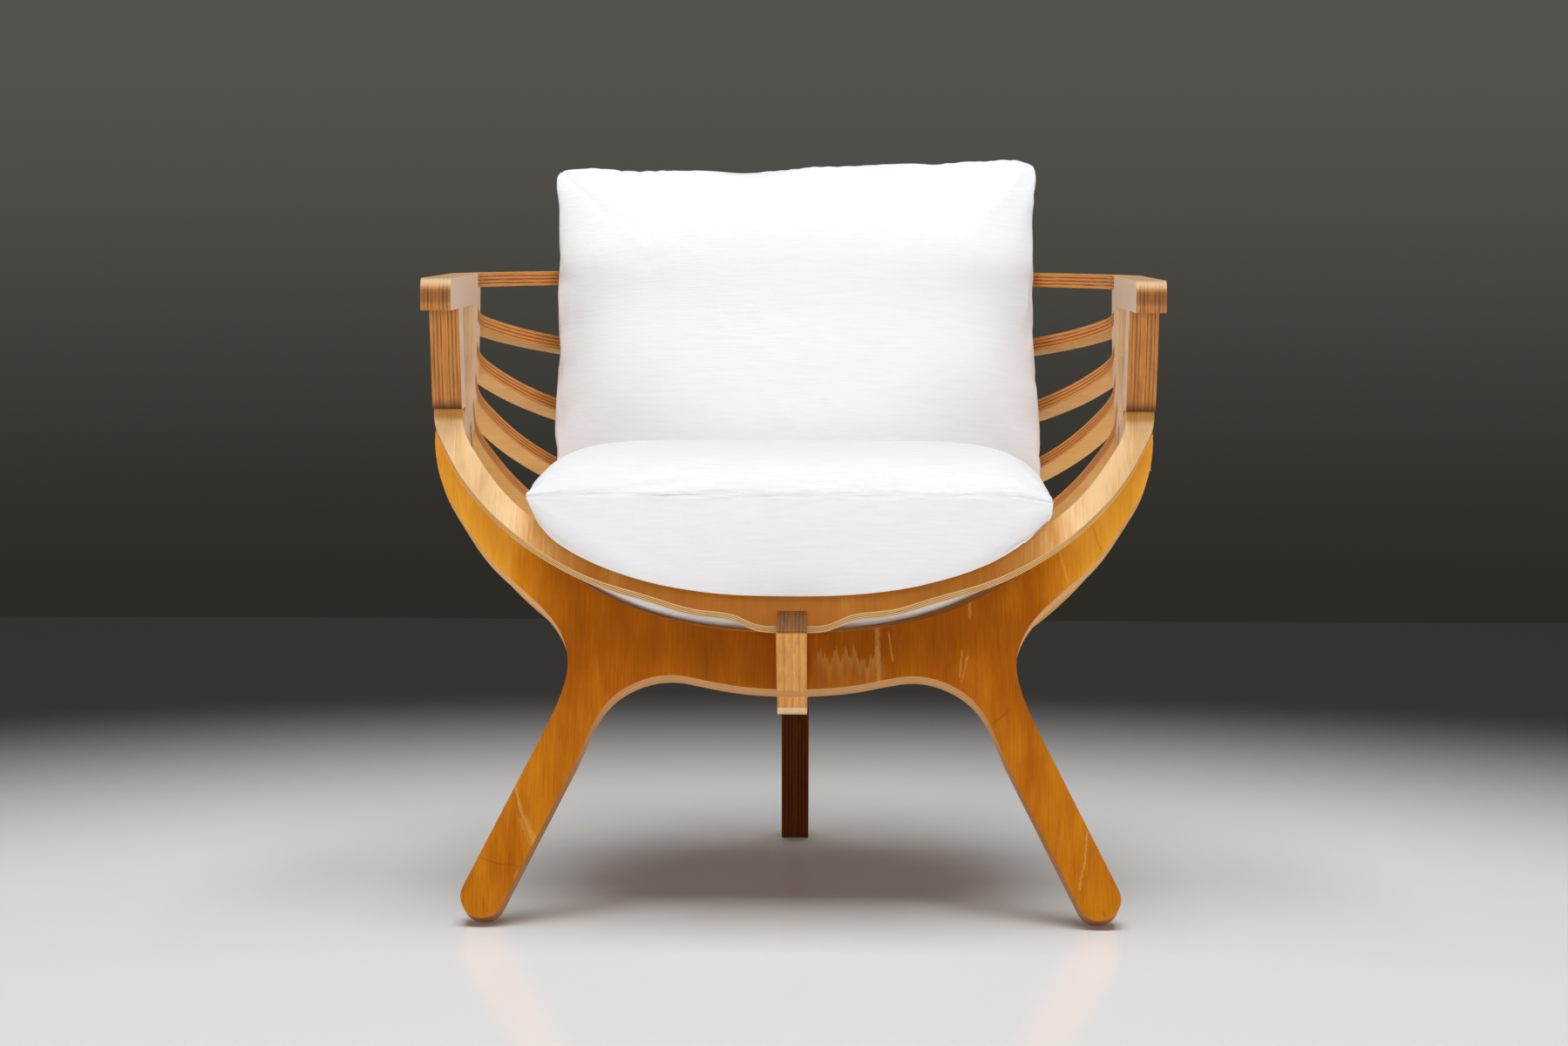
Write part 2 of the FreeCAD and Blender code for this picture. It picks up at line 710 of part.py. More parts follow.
stations = [0.0, 0.3, 0.55, 0.75, 0.88, 0.96, 1.0]
seatHalf = innerX - size.seat_side_gap
backHalf = innerX - size.back_side_gap
seatFront = onRim(size.rim_start - size.rim_depth, 0.0)[0] - size.seat_overhang
rimCorner = onRim(size.rim_start - hoopReach(seatHalf, innerX, size.rim_depth), thick)
seamHeight = rimCorner[1] + size.seat_front_lift
rearCorner = size.seat_rear - size.seat_rear_round - pivotY
rearHeight = pivotZ - math.sqrt(hoopRadius(seatHalf) ** 2 - rearCorner ** 2) + size.seat_rear_lift


def space(x, point):
    return FreeCAD.Vector(x, point[0] - size.origin_setback, point[1])


def spaceArc(x, first, middle, last):
    return Part.Arc(space(x, first), space(x, middle), space(x, last)).toShape()


def spaceLine(x, first, last):
    return Part.makeLine(space(x, first), space(x, last))


def seatSection(x):
    share = abs(x) / seatHalf
    close = 1.0 - share ** 16
    seam = size.seam_edge / 2.0
    front = (seatFront, seamHeight)
    rear = (size.seat_rear - size.seat_rear_round * share ** 3, rearHeight)
    rimY, rimZ = onRim(size.rim_start - hoopReach(x, innerX, size.rim_depth), thick)
    legRise = hornLevel - hoopReach(x, innerX, size.cradle_hang)
    legY = onLegs(legRise, pair)[0]
    legZ = onLegs(legRise, 0.0)[1]
    fall = (front[1] - rear[1]) / (rear[0] - front[0])

    def seamAt(y):
        return front[1] - fall * (y - front[0])

    crestY = size.seat_crest_back
    crest = (crestY, front[1] + 3.0 + size.seat_crown * (1.0 - share ** 6))
    chord = front[1] + (rear[1] - front[1]) * (crestY - front[0]) / (rear[0] - front[0])
    crest = (crestY, chord + seam + (crest[1] - chord) * (1.0 - share ** 16) + 1.0)
    brow = (rimY, seamAt(rimY) - seam - 1.0 - (seamAt(rimY) - rimZ - size.seat_clear) * close)
    keelY = legY + 10.0
    keel = (keelY, seamAt(keelY) - seam - 1.5 - (seamAt(keelY) - legZ - size.seat_clear) * close)
    hullY = (keelY + rear[0]) / 2.0
    hull = (hullY, seamAt(hullY) - seam - 2.0 - (seamAt(hullY) - legZ - size.seat_clear) * close)
    return [
        ((front[0], front[1] + seam), crest, (rear[0], rear[1] + seam)),
        ((rear[0], rear[1] + seam), (rear[0], rear[1] - seam)),
        ((rear[0], rear[1] - seam), hull, keel),
        (keel, brow, (front[0], front[1] - seam)),
        ((front[0], front[1] - seam), (front[0], front[1] + seam)),
    ]


def arcHeight(first, middle, last, y):
    """Height at y of the arc through three points, on its upper side."""
    curve = Part.Arc(flat(*first), flat(*middle), flat(*last)).toShape().Curve
    centre, radius = curve.Center, curve.Radius
    return centre.y + math.sqrt(radius ** 2 - (y - centre.x) ** 2)


# the back cushion stands on the seat cushion and leans on the top hoop with its side seams
seatTop = seatSection(0.0)[0]
backFootY = size.seat_rear - size.back_foot_inset
backFoot = (backFootY, arcHeight(*seatTop, backFootY) + size.back_foot_clear)
leanOn = (pivotY + hoopRadius(backHalf), pivotZ + thick / 2.0)
leanGap = size.seam_edge / 2.0 + 1.0 + size.back_lean_clear
leanReach = math.hypot(leanOn[0] - backFoot[0], leanOn[1] - backFoot[1])
backLean = math.atan2(leanOn[0] - backFoot[0], leanOn[1] - backFoot[1]) - math.asin(leanGap / leanReach)
backUp = (math.sin(backLean), math.cos(backLean))
backTop = (backFoot[0] + backUp[0] * size.back_long, backFoot[1] + backUp[1] * size.back_long)


def backSection(x):
    share = abs(x) / backHalf
    seam = size.seam_edge / 2.0
    foot = backFoot
    top = backTop
    rearward = (backUp[1], -backUp[0])
    middle = ((foot[0] + top[0]) / 2.0, (foot[1] + top[1]) / 2.0)

    def off(point, distance):
        return (point[0] + rearward[0] * distance, point[1] + rearward[1] * distance)

    frontMiddle = off(middle, -seam - 1.0 - size.back_front_crown * (1.0 - share ** 3.0) ** 0.8)
    rearMiddle = off(middle, seam + 1.0 + size.back_rear_crown * (1.0 - share ** 2.5))
    return [
        (off(foot, -seam), frontMiddle, off(top, -seam)),
        (off(top, -seam), off(top, seam)),
        (off(top, seam), rearMiddle, off(foot, seam)),
        (off(foot, seam), off(foot, -seam)),
    ]


def cushionSolid(section, halfWidth, centre, share):
    """Loft through the sections, drawn towards the centre by the given share."""

    def drawn(point):
        return tuple(middle + (value - middle) * share for value, middle in zip(point, centre))

    wires = []
    places = [-station for station in reversed(stations)] + stations[1:]
    for place in places:
        x = place * halfWidth
        edges = []
        for path in section(x):
            points = [drawn(point) for point in path]
            make = spaceArc if len(points) == 3 else spaceLine
            edges.append(make(x * share, *points))
        wires.append(Part.Wire(edges))
    return Part.makeLoft(wires, True, False)


def cushion(name, section, halfWidth, centre):
    solids = {}
    for part, share in [("outside", 1.0), ("cavity", size.cover_share), ("filling", size.filling_share)]:
        label = "%s_%s" % (name, part)
        feature = doc.addObject("Part::Feature", label)
        feature.Shape = cushionSolid(section, halfWidth, centre, share)
        feature.setExpression("Placement.Base.x", "0 * sizes.outer_half_width")
        feature.Label = label
        solids[part] = feature
    cover = cut(name + "_cover", solids["outside"], solids["cavity"])
    pieces[name + "_cover"] = cover
    pieces[name + "_filling"] = solids["filling"]


seatCentre = ((seatFront + size.seat_rear) / 2.0 - 37.5, seamHeight - 39.0)
cushion("seat_cushion", seatSection, seatHalf, seatCentre)
backCentre = ((backFoot[0] + backTop[0]) / 2.0 + 15.0, (backFoot[1] + backTop[1]) / 2.0)
cushion("back_cushion", backSection, backHalf, backCentre)

doc.recompute()
for thing in doc.Objects:
    if "Invalid" in thing.State or "Error" in thing.State:
        raise RuntimeError("%s: %s" % (thing.Label, thing.State))
os.makedirs("parts", exist_ok=True)
for name, thing in pieces.items():
    shape = thing.Shape
    if not shape.isValid() or len(shape.Solids) != 1:
        raise RuntimeError("%s: valid %s, %d solids" % (name, shape.isValid(), len(shape.Solids)))
    shape.exportStep("parts/%s.step" % name)
    print(name, round(shape.Volume), [round(v, 1) for v in (
        shape.BoundBox.XMin, shape.BoundBox.XMax, shape.BoundBox.YMin,
        shape.BoundBox.YMax, shape.BoundBox.ZMin, shape.BoundBox.ZMax)])
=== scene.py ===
import bpy
import json
import math
import numpy as np
from mathutils import Matrix, Vector

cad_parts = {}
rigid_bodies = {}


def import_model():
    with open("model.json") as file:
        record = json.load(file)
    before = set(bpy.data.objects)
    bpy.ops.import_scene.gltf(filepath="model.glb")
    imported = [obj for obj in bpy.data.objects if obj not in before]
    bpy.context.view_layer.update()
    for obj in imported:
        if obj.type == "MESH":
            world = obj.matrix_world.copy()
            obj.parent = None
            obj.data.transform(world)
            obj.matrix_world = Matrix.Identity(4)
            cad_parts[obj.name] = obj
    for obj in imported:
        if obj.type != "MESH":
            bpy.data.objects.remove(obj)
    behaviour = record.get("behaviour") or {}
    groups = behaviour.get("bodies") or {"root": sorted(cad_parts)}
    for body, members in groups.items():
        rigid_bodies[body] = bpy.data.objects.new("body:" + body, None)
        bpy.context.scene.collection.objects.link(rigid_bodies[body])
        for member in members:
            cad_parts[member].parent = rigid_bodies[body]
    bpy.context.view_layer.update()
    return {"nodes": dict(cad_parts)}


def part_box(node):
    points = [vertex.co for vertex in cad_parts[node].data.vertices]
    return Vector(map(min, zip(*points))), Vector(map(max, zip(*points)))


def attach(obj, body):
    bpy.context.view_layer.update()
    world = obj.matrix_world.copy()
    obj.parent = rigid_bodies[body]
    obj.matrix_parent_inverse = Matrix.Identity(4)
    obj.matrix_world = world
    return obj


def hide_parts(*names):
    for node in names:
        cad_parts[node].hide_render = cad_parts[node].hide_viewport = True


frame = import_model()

scene = bpy.context.scene
print("frame loaded:", len(frame["nodes"]), "nodes")


# shader helpers

class Socket:
    # wraps an output so that maths on it adds Math nodes
    def __init__(self, shader, link):
        self.shader = shader
        self.link = link

    def math(self, operation, *others):
        return self.shader.node("ShaderNodeMath", {"operation": operation}, [self, *others])

    def swapped(self, operation, other):
        return self.shader.node("ShaderNodeMath", {"operation": operation}, [other, self])

    def __add__(self, other):
        return self.math("ADD", other)

    __radd__ = __add__

    def __sub__(self, other):
        return self.math("SUBTRACT", other)

    def __rsub__(self, other):
        return self.swapped("SUBTRACT", other)

    def __mul__(self, other):
        return self.math("MULTIPLY", other)

    __rmul__ = __mul__

    def __truediv__(self, other):
        return self.math("DIVIDE", other)

    def __rtruediv__(self, other):
        return self.swapped("DIVIDE", other)

    def __abs__(self):
        return self.math("ABSOLUTE")

    def cosine(self):
        return self.math("COSINE")

    def atLeast(self, other):
        return self.math("MAXIMUM", other)

    def atMost(self, other):
        return self.math("MINIMUM", other)

    def ramp(self, low, high, start=0.0, end=1.0):
        sockets = {"Value": self, "From Min": low, "From Max": high, "To Min": start, "To Max": end}
        return self.shader.node("ShaderNodeMapRange", {"interpolation_type": "SMOOTHSTEP"}, sockets)

    def dot(self, vector):
        return self.shader.node("ShaderNodeVectorMath", {"operation": "DOT_PRODUCT"}, [self, vector], 1)

    def parts(self):
        return [self.shader.node("ShaderNodeSeparateXYZ", {}, [self], k) for k in range(3)]


class Shader:
    # adds nodes to the tree of a material or of the world
    def __init__(self, owner, output):
        owner.use_nodes = True
        self.tree = owner.node_tree
        self.tree.nodes.clear()
        self.output = self.tree.nodes.new(output)

    def feed(self, target, value):
        if isinstance(value, Socket):
            self.tree.links.new(value.link, target)
        else:
            target.default_value = value

    def node(self, kind, settings=None, sockets=None, output=0):
        made = self.tree.nodes.new(kind)
        for key, value in (settings or {}).items():
            if key == "stops":
                while len(made.color_ramp.elements) < len(value):
                    made.color_ramp.elements.new(0.5)
                for element, (place, colour) in zip(made.color_ramp.elements, value):
                    element.position = place
                    element.color = (*colour, 1.0)
            else:
                setattr(made, key, value)
        pairs = sockets.items() if isinstance(sockets, dict) else enumerate(sockets or [])
        for key, value in pairs:
            self.feed(made.inputs[key], value)
        return Socket(self, made.outputs[output])

    def blend(self, share, first, second, mode="MIX"):
        first = first if isinstance(first, Socket) else (*first, 1.0)
        second = second if isinstance(second, Socket) else (*second, 1.0)
        settings = {"data_type": "RGBA", "blend_type": mode}
        return self.node("ShaderNodeMix", settings, {0: share, 6: first, 7: second}, 2)

    def darken(self, colour, amount):
        grey = self.node("ShaderNodeCombineColor", {}, [amount, amount, amount])
        return self.blend(1.0, colour, grey, "MULTIPLY")

    def place(self):
        return self.node("ShaderNodeTexCoord", {}, {}, 3)

    def facing(self, direction):
        return self.node("ShaderNodeNewGeometry", {}, {}, 1).dot(direction)

    def vector(self, x, y, z):
        return self.node("ShaderNodeCombineXYZ", {}, [x, y, z])

    def scaled(self, vector, scale):
        return self.node("ShaderNodeVectorMath", {"operation": "SCALE"}, {0: vector, "Scale": scale})

    def noise(self, vector, detail=3.0, roughness=0.5, distortion=0.0):
        sockets = {"Vector": vector, "Scale": 1.0, "Detail": detail, "Roughness": roughness,
                   "Distortion": distortion}
        return self.node("ShaderNodeTexNoise", {"noise_dimensions": "3D"}, sockets)

    def bump(self, height, strength, distance):
        sockets = {"Strength": strength, "Distance": distance, "Height": height}
        return self.node("ShaderNodeBump", {}, sockets)


class Finish(Shader):
    # a new material with one Principled shader
    def __init__(self, name):
        self.material = bpy.data.materials.new(name)
        super().__init__(self.material, "ShaderNodeOutputMaterial")
        self.surface = self.tree.nodes.new("ShaderNodeBsdfPrincipled")
        self.tree.links.new(self.surface.outputs[0], self.output.inputs[0])

    def set(self, **values):
        for key, value in values.items():
            self.feed(self.surface.inputs[key.replace("_", " ")], value)


# places of the boards, the same as in the solids

boardValues = {
    "thick": 0.015,
    "setback": 0.310,                   # from the line of the front feet to the origin
    "footTrim": 0.001,                  # worn flat under each foot
    "legLean": 21.5,
    "rimLean": 33.0,
    "rimFoot": (0.1576, 0.4882),        # start of the front hoop: behind the feet, above the floor
    "pivot": (0.0, -0.149, 0.6285),     # where the planes of the other hoops meet
    "fanStep": 12.4,                    # angle from one of those hoops to the next
    "half": 0.3385,                     # half the width between the side frames
    "rimStart": 0.007,                  # up the front hoop to the ends of its inner curve
    "rimDepth": 0.198,                  # depth of that curve
    "cradleRise": 0.2915,               # up the leg plate to its top edge on the middle line
    "cradleHang": 0.229,                # depth of that edge's curve
}


def lean(angle):
    # unit vectors of a plate that leans back: along it, and through it towards the rear
    a = math.radians(angle)
    return (0, math.sin(a), math.cos(a)), (0, math.cos(a), -math.sin(a))


def legFoot():
    # lower end of the leg plate's front face
    v = boardValues
    a = math.radians(v["legLean"])
    pair = 2 * v["thick"]
    return 0, -v["setback"] - pair * math.cos(a), pair * math.sin(a) - v["footTrim"]


# plywood: veneer on the faces, ply lines round the edges

plywoodValues = {
    "veneers": {
        "deep": [
            (0.12, (0.210, 0.042, 0.0012)),
            (0.40, (0.400, 0.105, 0.003)),
            (0.64, (0.620, 0.215, 0.008)),
            (0.95, (0.850, 0.400, 0.040)),
        ],
        # the palest stops stand partly for the glare of the top light on the hoop's ends: painted highlight
        "rim": [
            (0.10, (0.330, 0.098, 0.007)),
            (0.42, (0.440, 0.148, 0.014)),
            (0.66, (0.620, 0.290, 0.070)),
            (0.95, (0.900, 0.610, 0.320)),
        ],
        # the inner boards' pinker, paler veneer is partly painted highlight, the glare of the top light
        "inner": [
            (0.12, (0.480, 0.190, 0.060)),
            (0.40, (0.640, 0.330, 0.150)),
            (0.64, (0.760, 0.460, 0.270)),
            (0.95, (0.840, 0.580, 0.400)),
        ],
        "outer": [
            (0.12, (0.400, 0.120, 0.012)),
            (0.40, (0.560, 0.215, 0.030)),
            (0.64, (0.700, 0.330, 0.070)),
            (0.95, (0.860, 0.500, 0.160)),
        ],
        "pale": [
            (0.12, (0.400, 0.130, 0.020)),
            (0.40, (0.600, 0.270, 0.070)),
            (0.64, (0.740, 0.400, 0.130)),
            (0.95, (0.860, 0.540, 0.210)),
        ],
    },
    "edges": {
        # light plies, warm plies, lines between them
        # cream and legs are partly painted light: made paler for the bounce from the floor onto edges that
        # face down
        "cream": ((0.920, 0.660, 0.340), (0.800, 0.470, 0.170), (0.110, 0.042, 0.012)),
        "honey": ((0.760, 0.400, 0.130), (0.560, 0.220, 0.048), (0.200, 0.055, 0.012)),
        "russet": ((0.700, 0.310, 0.090), (0.540, 0.185, 0.036), (0.200, 0.048, 0.008)),
        "amber": ((0.540, 0.235, 0.060), (0.400, 0.140, 0.022), (0.090, 0.020, 0.003)),
        "legs": ((0.860, 0.500, 0.220), (0.760, 0.360, 0.120), (0.330, 0.115, 0.034)),
    },
    # dark tint for stained edges and for painted shade on edges
    "stainAndShade": (0.120, 0.060, 0.028),
    # pale tint for paler edges and for painted highlights on edges
    "paleAndHighlight": (0.840, 0.620, 0.380),
    # dark brown for burnt patches, and for painted shade on edges
    "burntAndShade": (0.270, 0.090, 0.022),
    # veneer: scale along and across the grain, detail, roughness
    "figure": (6, 19, 3.0, 0.55),
    "cloud": (17, 60, 3.0, 0.60),
    "fibres": (26, 760, 4.0, 0.60),
    "pores": (95, 1500, 2.0, 0.50),
    "figureShare": 0.54, "cloudShare": 0.26, "fibreShare": 0.32, "level": -0.04,
    "poreRange": (0.60, 0.85), "poreDark": 0.16,
    # edge
    "lineCount": 4, "lineRange": (0.30, 0.88), "lineFade": (0.30, 0.62),
    "skin": (0.10, 0.19),               # no lines in the outer plies
    "wanderScale": 16.0, "wander": 0.10,
    "streakScale": (34, 34, 17), "warmRange": (0.35, 0.75), "warmShare": 0.55,
    "fleckScale": 800.0, "fleckRange": (0.5, 0.8), "fleckDark": 0.18,
    "patchScale": (17, 30, 2.2), "patchRange": (0.44, 0.72),
    "faceRange": (0.62, 0.80),          # how squarely a face looks across the sheet
    "forwardRange": (0.15, 0.45),       # how squarely a face looks to the front
    "roughness": 0.40, "fibreRoughness": 0.10, "edgeRoughness": 0.10,
    "specular": 0.08,
    "coatRoughness": 0.30,
    "bumpStrength": 0.10, "bumpDistance": 0.0004, "fibreBump": 0.5, "poreBump": 0.4,
}


def plywood(name, normal, grain, start, seed, veneer="deep", edges="honey", lift=0.0, lines=0.8,
            coat=0.04, blotch=0.0, shade=None, stainAndShade=None, paleAndHighlight=None, paintedEdgeShade=None, marks=()):
    # normal: across the sheet; grain: along the veneer; start: depth of the sheet's first face
    # lift and shade brighten the veneer, all over and by place, shade partly as painted light and shade;
    # lines: strength of the ply lines
    # blotch: burnt patches along the edge; marks: functions that paint on the veneer
    # stain, bare and sooty: share by place of edges darkened by stain and painted shade, of paler edges,
    # partly painted highlights, and of edges in painted shade
    v = plywoodValues
    shader = Finish(name)
    normal = Vector(normal).normalized()
    grain = Vector(grain).normalized()
    place = shader.place()
    spot = place.parts()
    along = place.dot(tuple(grain))
    side = place.dot(tuple(normal.cross(grain)))
    depth = (place.dot(tuple(normal)) - start) / boardValues["thick"]

    def grained(part, alongShift, sideShift, layer):
        stretch, squeeze, detail, roughness = v[part]
        where = shader.vector(along * stretch + alongShift, side * squeeze + sideShift, layer)
        return shader.noise(where, detail, roughness)

    # veneer: cloudy figure, long fibres, pores
    fibres = grained("fibres", seed, 0, seed * 2)
    pores = grained("pores", -seed, 0, seed)
    tone = grained("figure", seed, -seed, seed) * v["figureShare"]
    tone = tone + grained("cloud", seed, seed, seed) * v["cloudShare"]
    tone = tone + fibres * v["fibreShare"] + (lift + v["level"])
    if shade:
        tone = tone + shade(*spot)
    face = shader.node("ShaderNodeValToRGB", {"stops": v["veneers"][veneer]}, [tone])
    face = shader.darken(face, 1 - pores.ramp(*v["poreRange"]) * v["poreDark"])
    for mark in marks:
        face = mark(shader, place, face)

    # edge: light and warm plies between soft dark lines that fade in and out
    wander = (shader.noise(shader.scaled(place, v["wanderScale"]), 2.0, 0.5) - 0.5) * v["wander"]
    alongScale, sideScale, depthScale = v["streakScale"]
    streakPlace = shader.vector(along * alongScale + seed, side * sideScale, depth * depthScale)
    streaks = shader.noise(streakPlace, 3.0, 0.65)
    wave = ((depth + wander) * (2 * math.pi * v["lineCount"])).cosine() * 0.5 + 0.5
    inner = (0.5 - abs(depth - 0.5)).ramp(*v["skin"])
    dark = wave.ramp(*v["lineRange"]) * inner * (streaks.ramp(*v["lineFade"]) * 0.5 + 0.5)
    plies = (depth * (math.pi * v["lineCount"])).cosine() * 0.25 + 0.25
    plies = (plies + streaks.ramp(*v["warmRange"]) * v["warmShare"]).atMost(1.0)
    light, warm, line = v["edges"][edges]
    edge = shader.blend(plies, light, warm)
    edge = shader.blend(dark * (lines(*spot) if callable(lines) else lines), edge, line)
    flecks = shader.noise(shader.scaled(place, v["fleckScale"]), 2.0, 0.6)
    edge = shader.darken(edge, 1 - flecks.ramp(*v["fleckRange"]) * v["fleckDark"])
    if blotch:
        alongScale, sideScale, depthScale = v["patchScale"]
        patchPlace = shader.vector(along * alongScale + seed, side * sideScale, depth * depthScale)
        patches = shader.noise(patchPlace, 4.0, 0.62, 0.3)
        edge = shader.blend(patches.ramp(*v["patchRange"]) * blotch, edge, v["burntAndShade"])
    # painted shade on edges, by place
    if paintedEdgeShade:
        edge = shader.blend(paintedEdgeShade(*spot), edge, v["burntAndShade"])

    onFace = abs(shader.facing(tuple(normal))).ramp(*v["faceRange"])
    onEdge = 1 - onFace
    colour = shader.blend(onFace, edge, face)
    # edges darkened by place, partly a stain and partly painted shade
    if stainAndShade:
        forward = shader.facing((0, -1, 0)).ramp(*v["forwardRange"])
        colour = shader.blend(stainAndShade(*spot, forward) * onEdge, colour, v["stainAndShade"], "MULTIPLY")
    # edges made paler by place, partly as painted highlights
    if paleAndHighlight:
        colour = shader.blend(paleAndHighlight(*spot) * onEdge, colour, v["paleAndHighlight"])
    height = fibres * v["fibreBump"] + pores * v["poreBump"] - dark * onEdge
    shader.set(
        Base_Color=colour,
        Roughness=fibres * v["fibreRoughness"] + v["roughness"] + onEdge * v["edgeRoughness"],
        Specular_IOR_Level=v["specular"],
        Normal=shader.bump(height, v["bumpStrength"], v["bumpDistance"]),
        Coat_Weight=coat,
        Coat_Roughness=v["coatRoughness"],
    )
    return shader.material


def dress(node, material):
    materials = bpy.data.objects[node].data.materials
    materials.clear()
    materials.append(material)


# marks of the old veneer on the front legs: millimetres across, and up the board from its foot

markValues = {
    # first end, last end, width
    "pale": [
        ((-275, 134), (-266, 100), 1.6), ((-266, 101), (-254, 74), 4.2), ((293, 89), (290, 57), 1.0),
        ((290, 58), (284, 30), 1.2), ((270, 377), (278, 344), 1.0), ((-342, 442), (-335, 412), 0.8),
        ((85, 300), (87, 238), 2.2), ((178, 325), (179, 307), 1.3), ((171, 274), (168, 246), 1.0),
        ((176, 268), (170, 240), 0.9), ((97, 292), (101, 262), 0.9), ((-273, 39), (-269, 47), 0.7),
    ],
    "dark": [
        ((-309, 61), (-291, 54), 0.8), ((-292, 54.5), (-266, 51.5), 0.8), ((-303, 21), (-302, 6), 0.7),
        ((200, 197), (218, 213), 1.0), ((303, 405), (312, 377), 0.7), ((-277, 134), (-269, 104), 0.9),
        ((-269, 105), (-257, 74), 1.2), ((305, 9), (309, 5), 1.2),
    ],
    "colours": {"pale": (0.86, 0.50, 0.13), "dark": (0.13, 0.035, 0.004)},
    "strength": 0.27, "soften": (0.35, 1.6), "endFade": 2.0,
    "wobble": 3.2, "wobbleScale": 0.16,
}


def boardPlace(place):
    # millimetres across and up the front legs' board
    up = lean(boardValues["legLean"])[0]
    return place.dot((1, 0, 0)) * 1000, (place.dot(up) - Vector(legFoot()).dot(Vector(up))) * 1000


def legMark(first, last, width, colour):
    # a short wobbly stroke between two points of the board
    v = markValues
    long = math.dist(first, last)
    across = (last[0] - first[0]) / long
    upward = (last[1] - first[1]) / long

    def paint(shader, place, veneer):
        x, rise = boardPlace(place)
        wobblePlace = shader.vector(x * v["wobbleScale"], rise * v["wobbleScale"], first[0] * 0.1)
        wobble = (shader.noise(wobblePlace, 3.0, 0.6) - 0.5) * (v["wobble"] + width)
        run = (x - first[0]) * across + (rise - first[1]) * upward
        off = abs((x - first[0]) * upward - (rise - first[1]) * across + wobble)
        fade = v["endFade"]
        ends = run.ramp(-fade, fade) * run.ramp(long - fade, long + fade, 1.0, 0.0)
        full, gone = v["soften"]
        share = off.ramp(width * full, width * gone, v["strength"], 0.0) * ends
        return shader.blend(share, veneer, colour)
    return paint


flameValues = {
    "from": (18, 30), "to": (82, 96), "rise": 200,
    "spikeScale": 0.10, "spikes": 110, "jagScale": (0.24, 0.02), "jags": 26,
    "below": (-1.5, 3.0), "glow": 0.06,
    "rim": (-1.0, 1.0), "rimFade": (1.0, 26.0), "rimGlow": 0.17,
}


def flame(shader, place, veneer):
    # jagged pale figure beside the nose
    v = flameValues
    pale = markValues["colours"]["pale"]
    x, rise = boardPlace(place)
    spikes = shader.noise(shader.vector(x * v["spikeScale"], 0.0, 4.0), 2.0, 0.7)
    jagX, jagRise = v["jagScale"]
    jags = shader.noise(shader.vector(x * jagX, rise * jagRise, 9.0), 2.0, 0.5)
    under = spikes * v["spikes"] + jags * v["jags"] + v["rise"] - rise
    window = x.ramp(*v["from"]) * x.ramp(*v["to"], 1.0, 0.0)
    veneer = shader.blend(under.ramp(*v["below"]) * window * v["glow"], veneer, pale)
    rimLine = under.ramp(*v["rim"]) * under.ramp(*v["rimFade"], 1.0, 0.0)
    return shader.blend(rimLine * window * v["rimGlow"], veneer, pale)


legValues = {
    # the veneer is paler on the horns and redder from the knees up, partly its own tone and partly painted
    # light and shade; the edges get painted shade low down
    "hornX": (0.19, 0.32), "hornZ": (0.22, 0.34), "horn": 0.54,
    "kneeZ": (0.08, 0.28), "knee": -0.20,
    "edgeShadeZ": (0.10, 0.27), "edgeShadeShare": 0.62,
}


def dressLegs():
    v = legValues
    thick = boardValues["thick"]
    up, through = lean(boardValues["legLean"])
    start = Vector(legFoot()).dot(Vector(through))
    marks = [flame]
    for tone, colour in markValues["colours"].items():
        marks += [legMark(*stroke, colour) for stroke in markValues[tone]]

    # paler horns and a darker upper middle: partly the veneer's own tone, partly painted light and shade
    def shade(x, y, z):
        horn = abs(x).ramp(*v["hornX"]) * z.ramp(*v["hornZ"]) * v["horn"]
        return horn + z.ramp(*v["kneeZ"]) * v["knee"]

    # painted shade on the legs' edges low down
    def paintedEdgeShade(x, y, z):
        return z.ramp(*v["edgeShadeZ"], v["edgeShadeShare"], 0.0)

    front = plywood("veneerLegsFront", through, up, start, 3.1, edges="legs", lift=0.015, lines=0.5,
                    shade=shade, paintedEdgeShade=paintedEdgeShade, marks=marks)
    back = plywood("veneerLegsBack", through, up, start + thick, 7.7, edges="legs", lift=-0.05, lines=0.5,
                   shade=shade, paintedEdgeShade=paintedEdgeShade)
    dress("front_leg_plate_front", front)
    dress("front_leg_plate_back", back)


rimValues = {
    # the front hoop is painted pale towards its ends, where the top light falls and glints, dark in the
    # middle in painted shade under the cushion, and dark at the very top in painted shadow under the arm
    # posts
    "paleX": (0.17, 0.31), "pale": 0.58, "level": -0.22,
    "endZ": (0.486, 0.494), "end": -0.24,
}


def dressRim():
    v = rimValues
    up, through = lean(boardValues["rimLean"])
    y, z = boardValues["rimFoot"]
    start = Vector((0, y - boardValues["setback"], z)).dot(Vector(through))

    # painted highlight towards the ends, painted shade in the middle and at the top end
    def shade(x, y, z):
        return abs(x).ramp(*v["paleX"]) * v["pale"] + v["level"] + z.ramp(*v["endZ"]) * v["end"]

    dress("seat_front_hoop", plywood("veneerRim", through, up, start, 12.3, "rim", "cream", lift=0.04,
                                     lines=1.0, coat=0.15, shade=shade))


hoopNodes = ["top_rail_hoop", "back_hoop_upper", "back_hoop_middle", "back_hoop_lower",
             "seat_hoop_rear", "seat_hoop_middle", "seat_hoop_front"]


def dressHoops():
    v = boardValues
    for number, node in enumerate(hoopNodes):
        angle = math.radians(v["fanStep"] * number)
        normal = Vector((0, math.sin(angle), math.cos(angle)))
        start = Vector(v["pivot"]).dot(normal) - v["thick"] / 2
        dress(node, plywood("veneerHoop%d" % number, normal, (1, 0, 0), start, 20.0 + 3.7 * number,
                            "pale", "russet", lift=0.15, lines=0.9, coat=0.10))


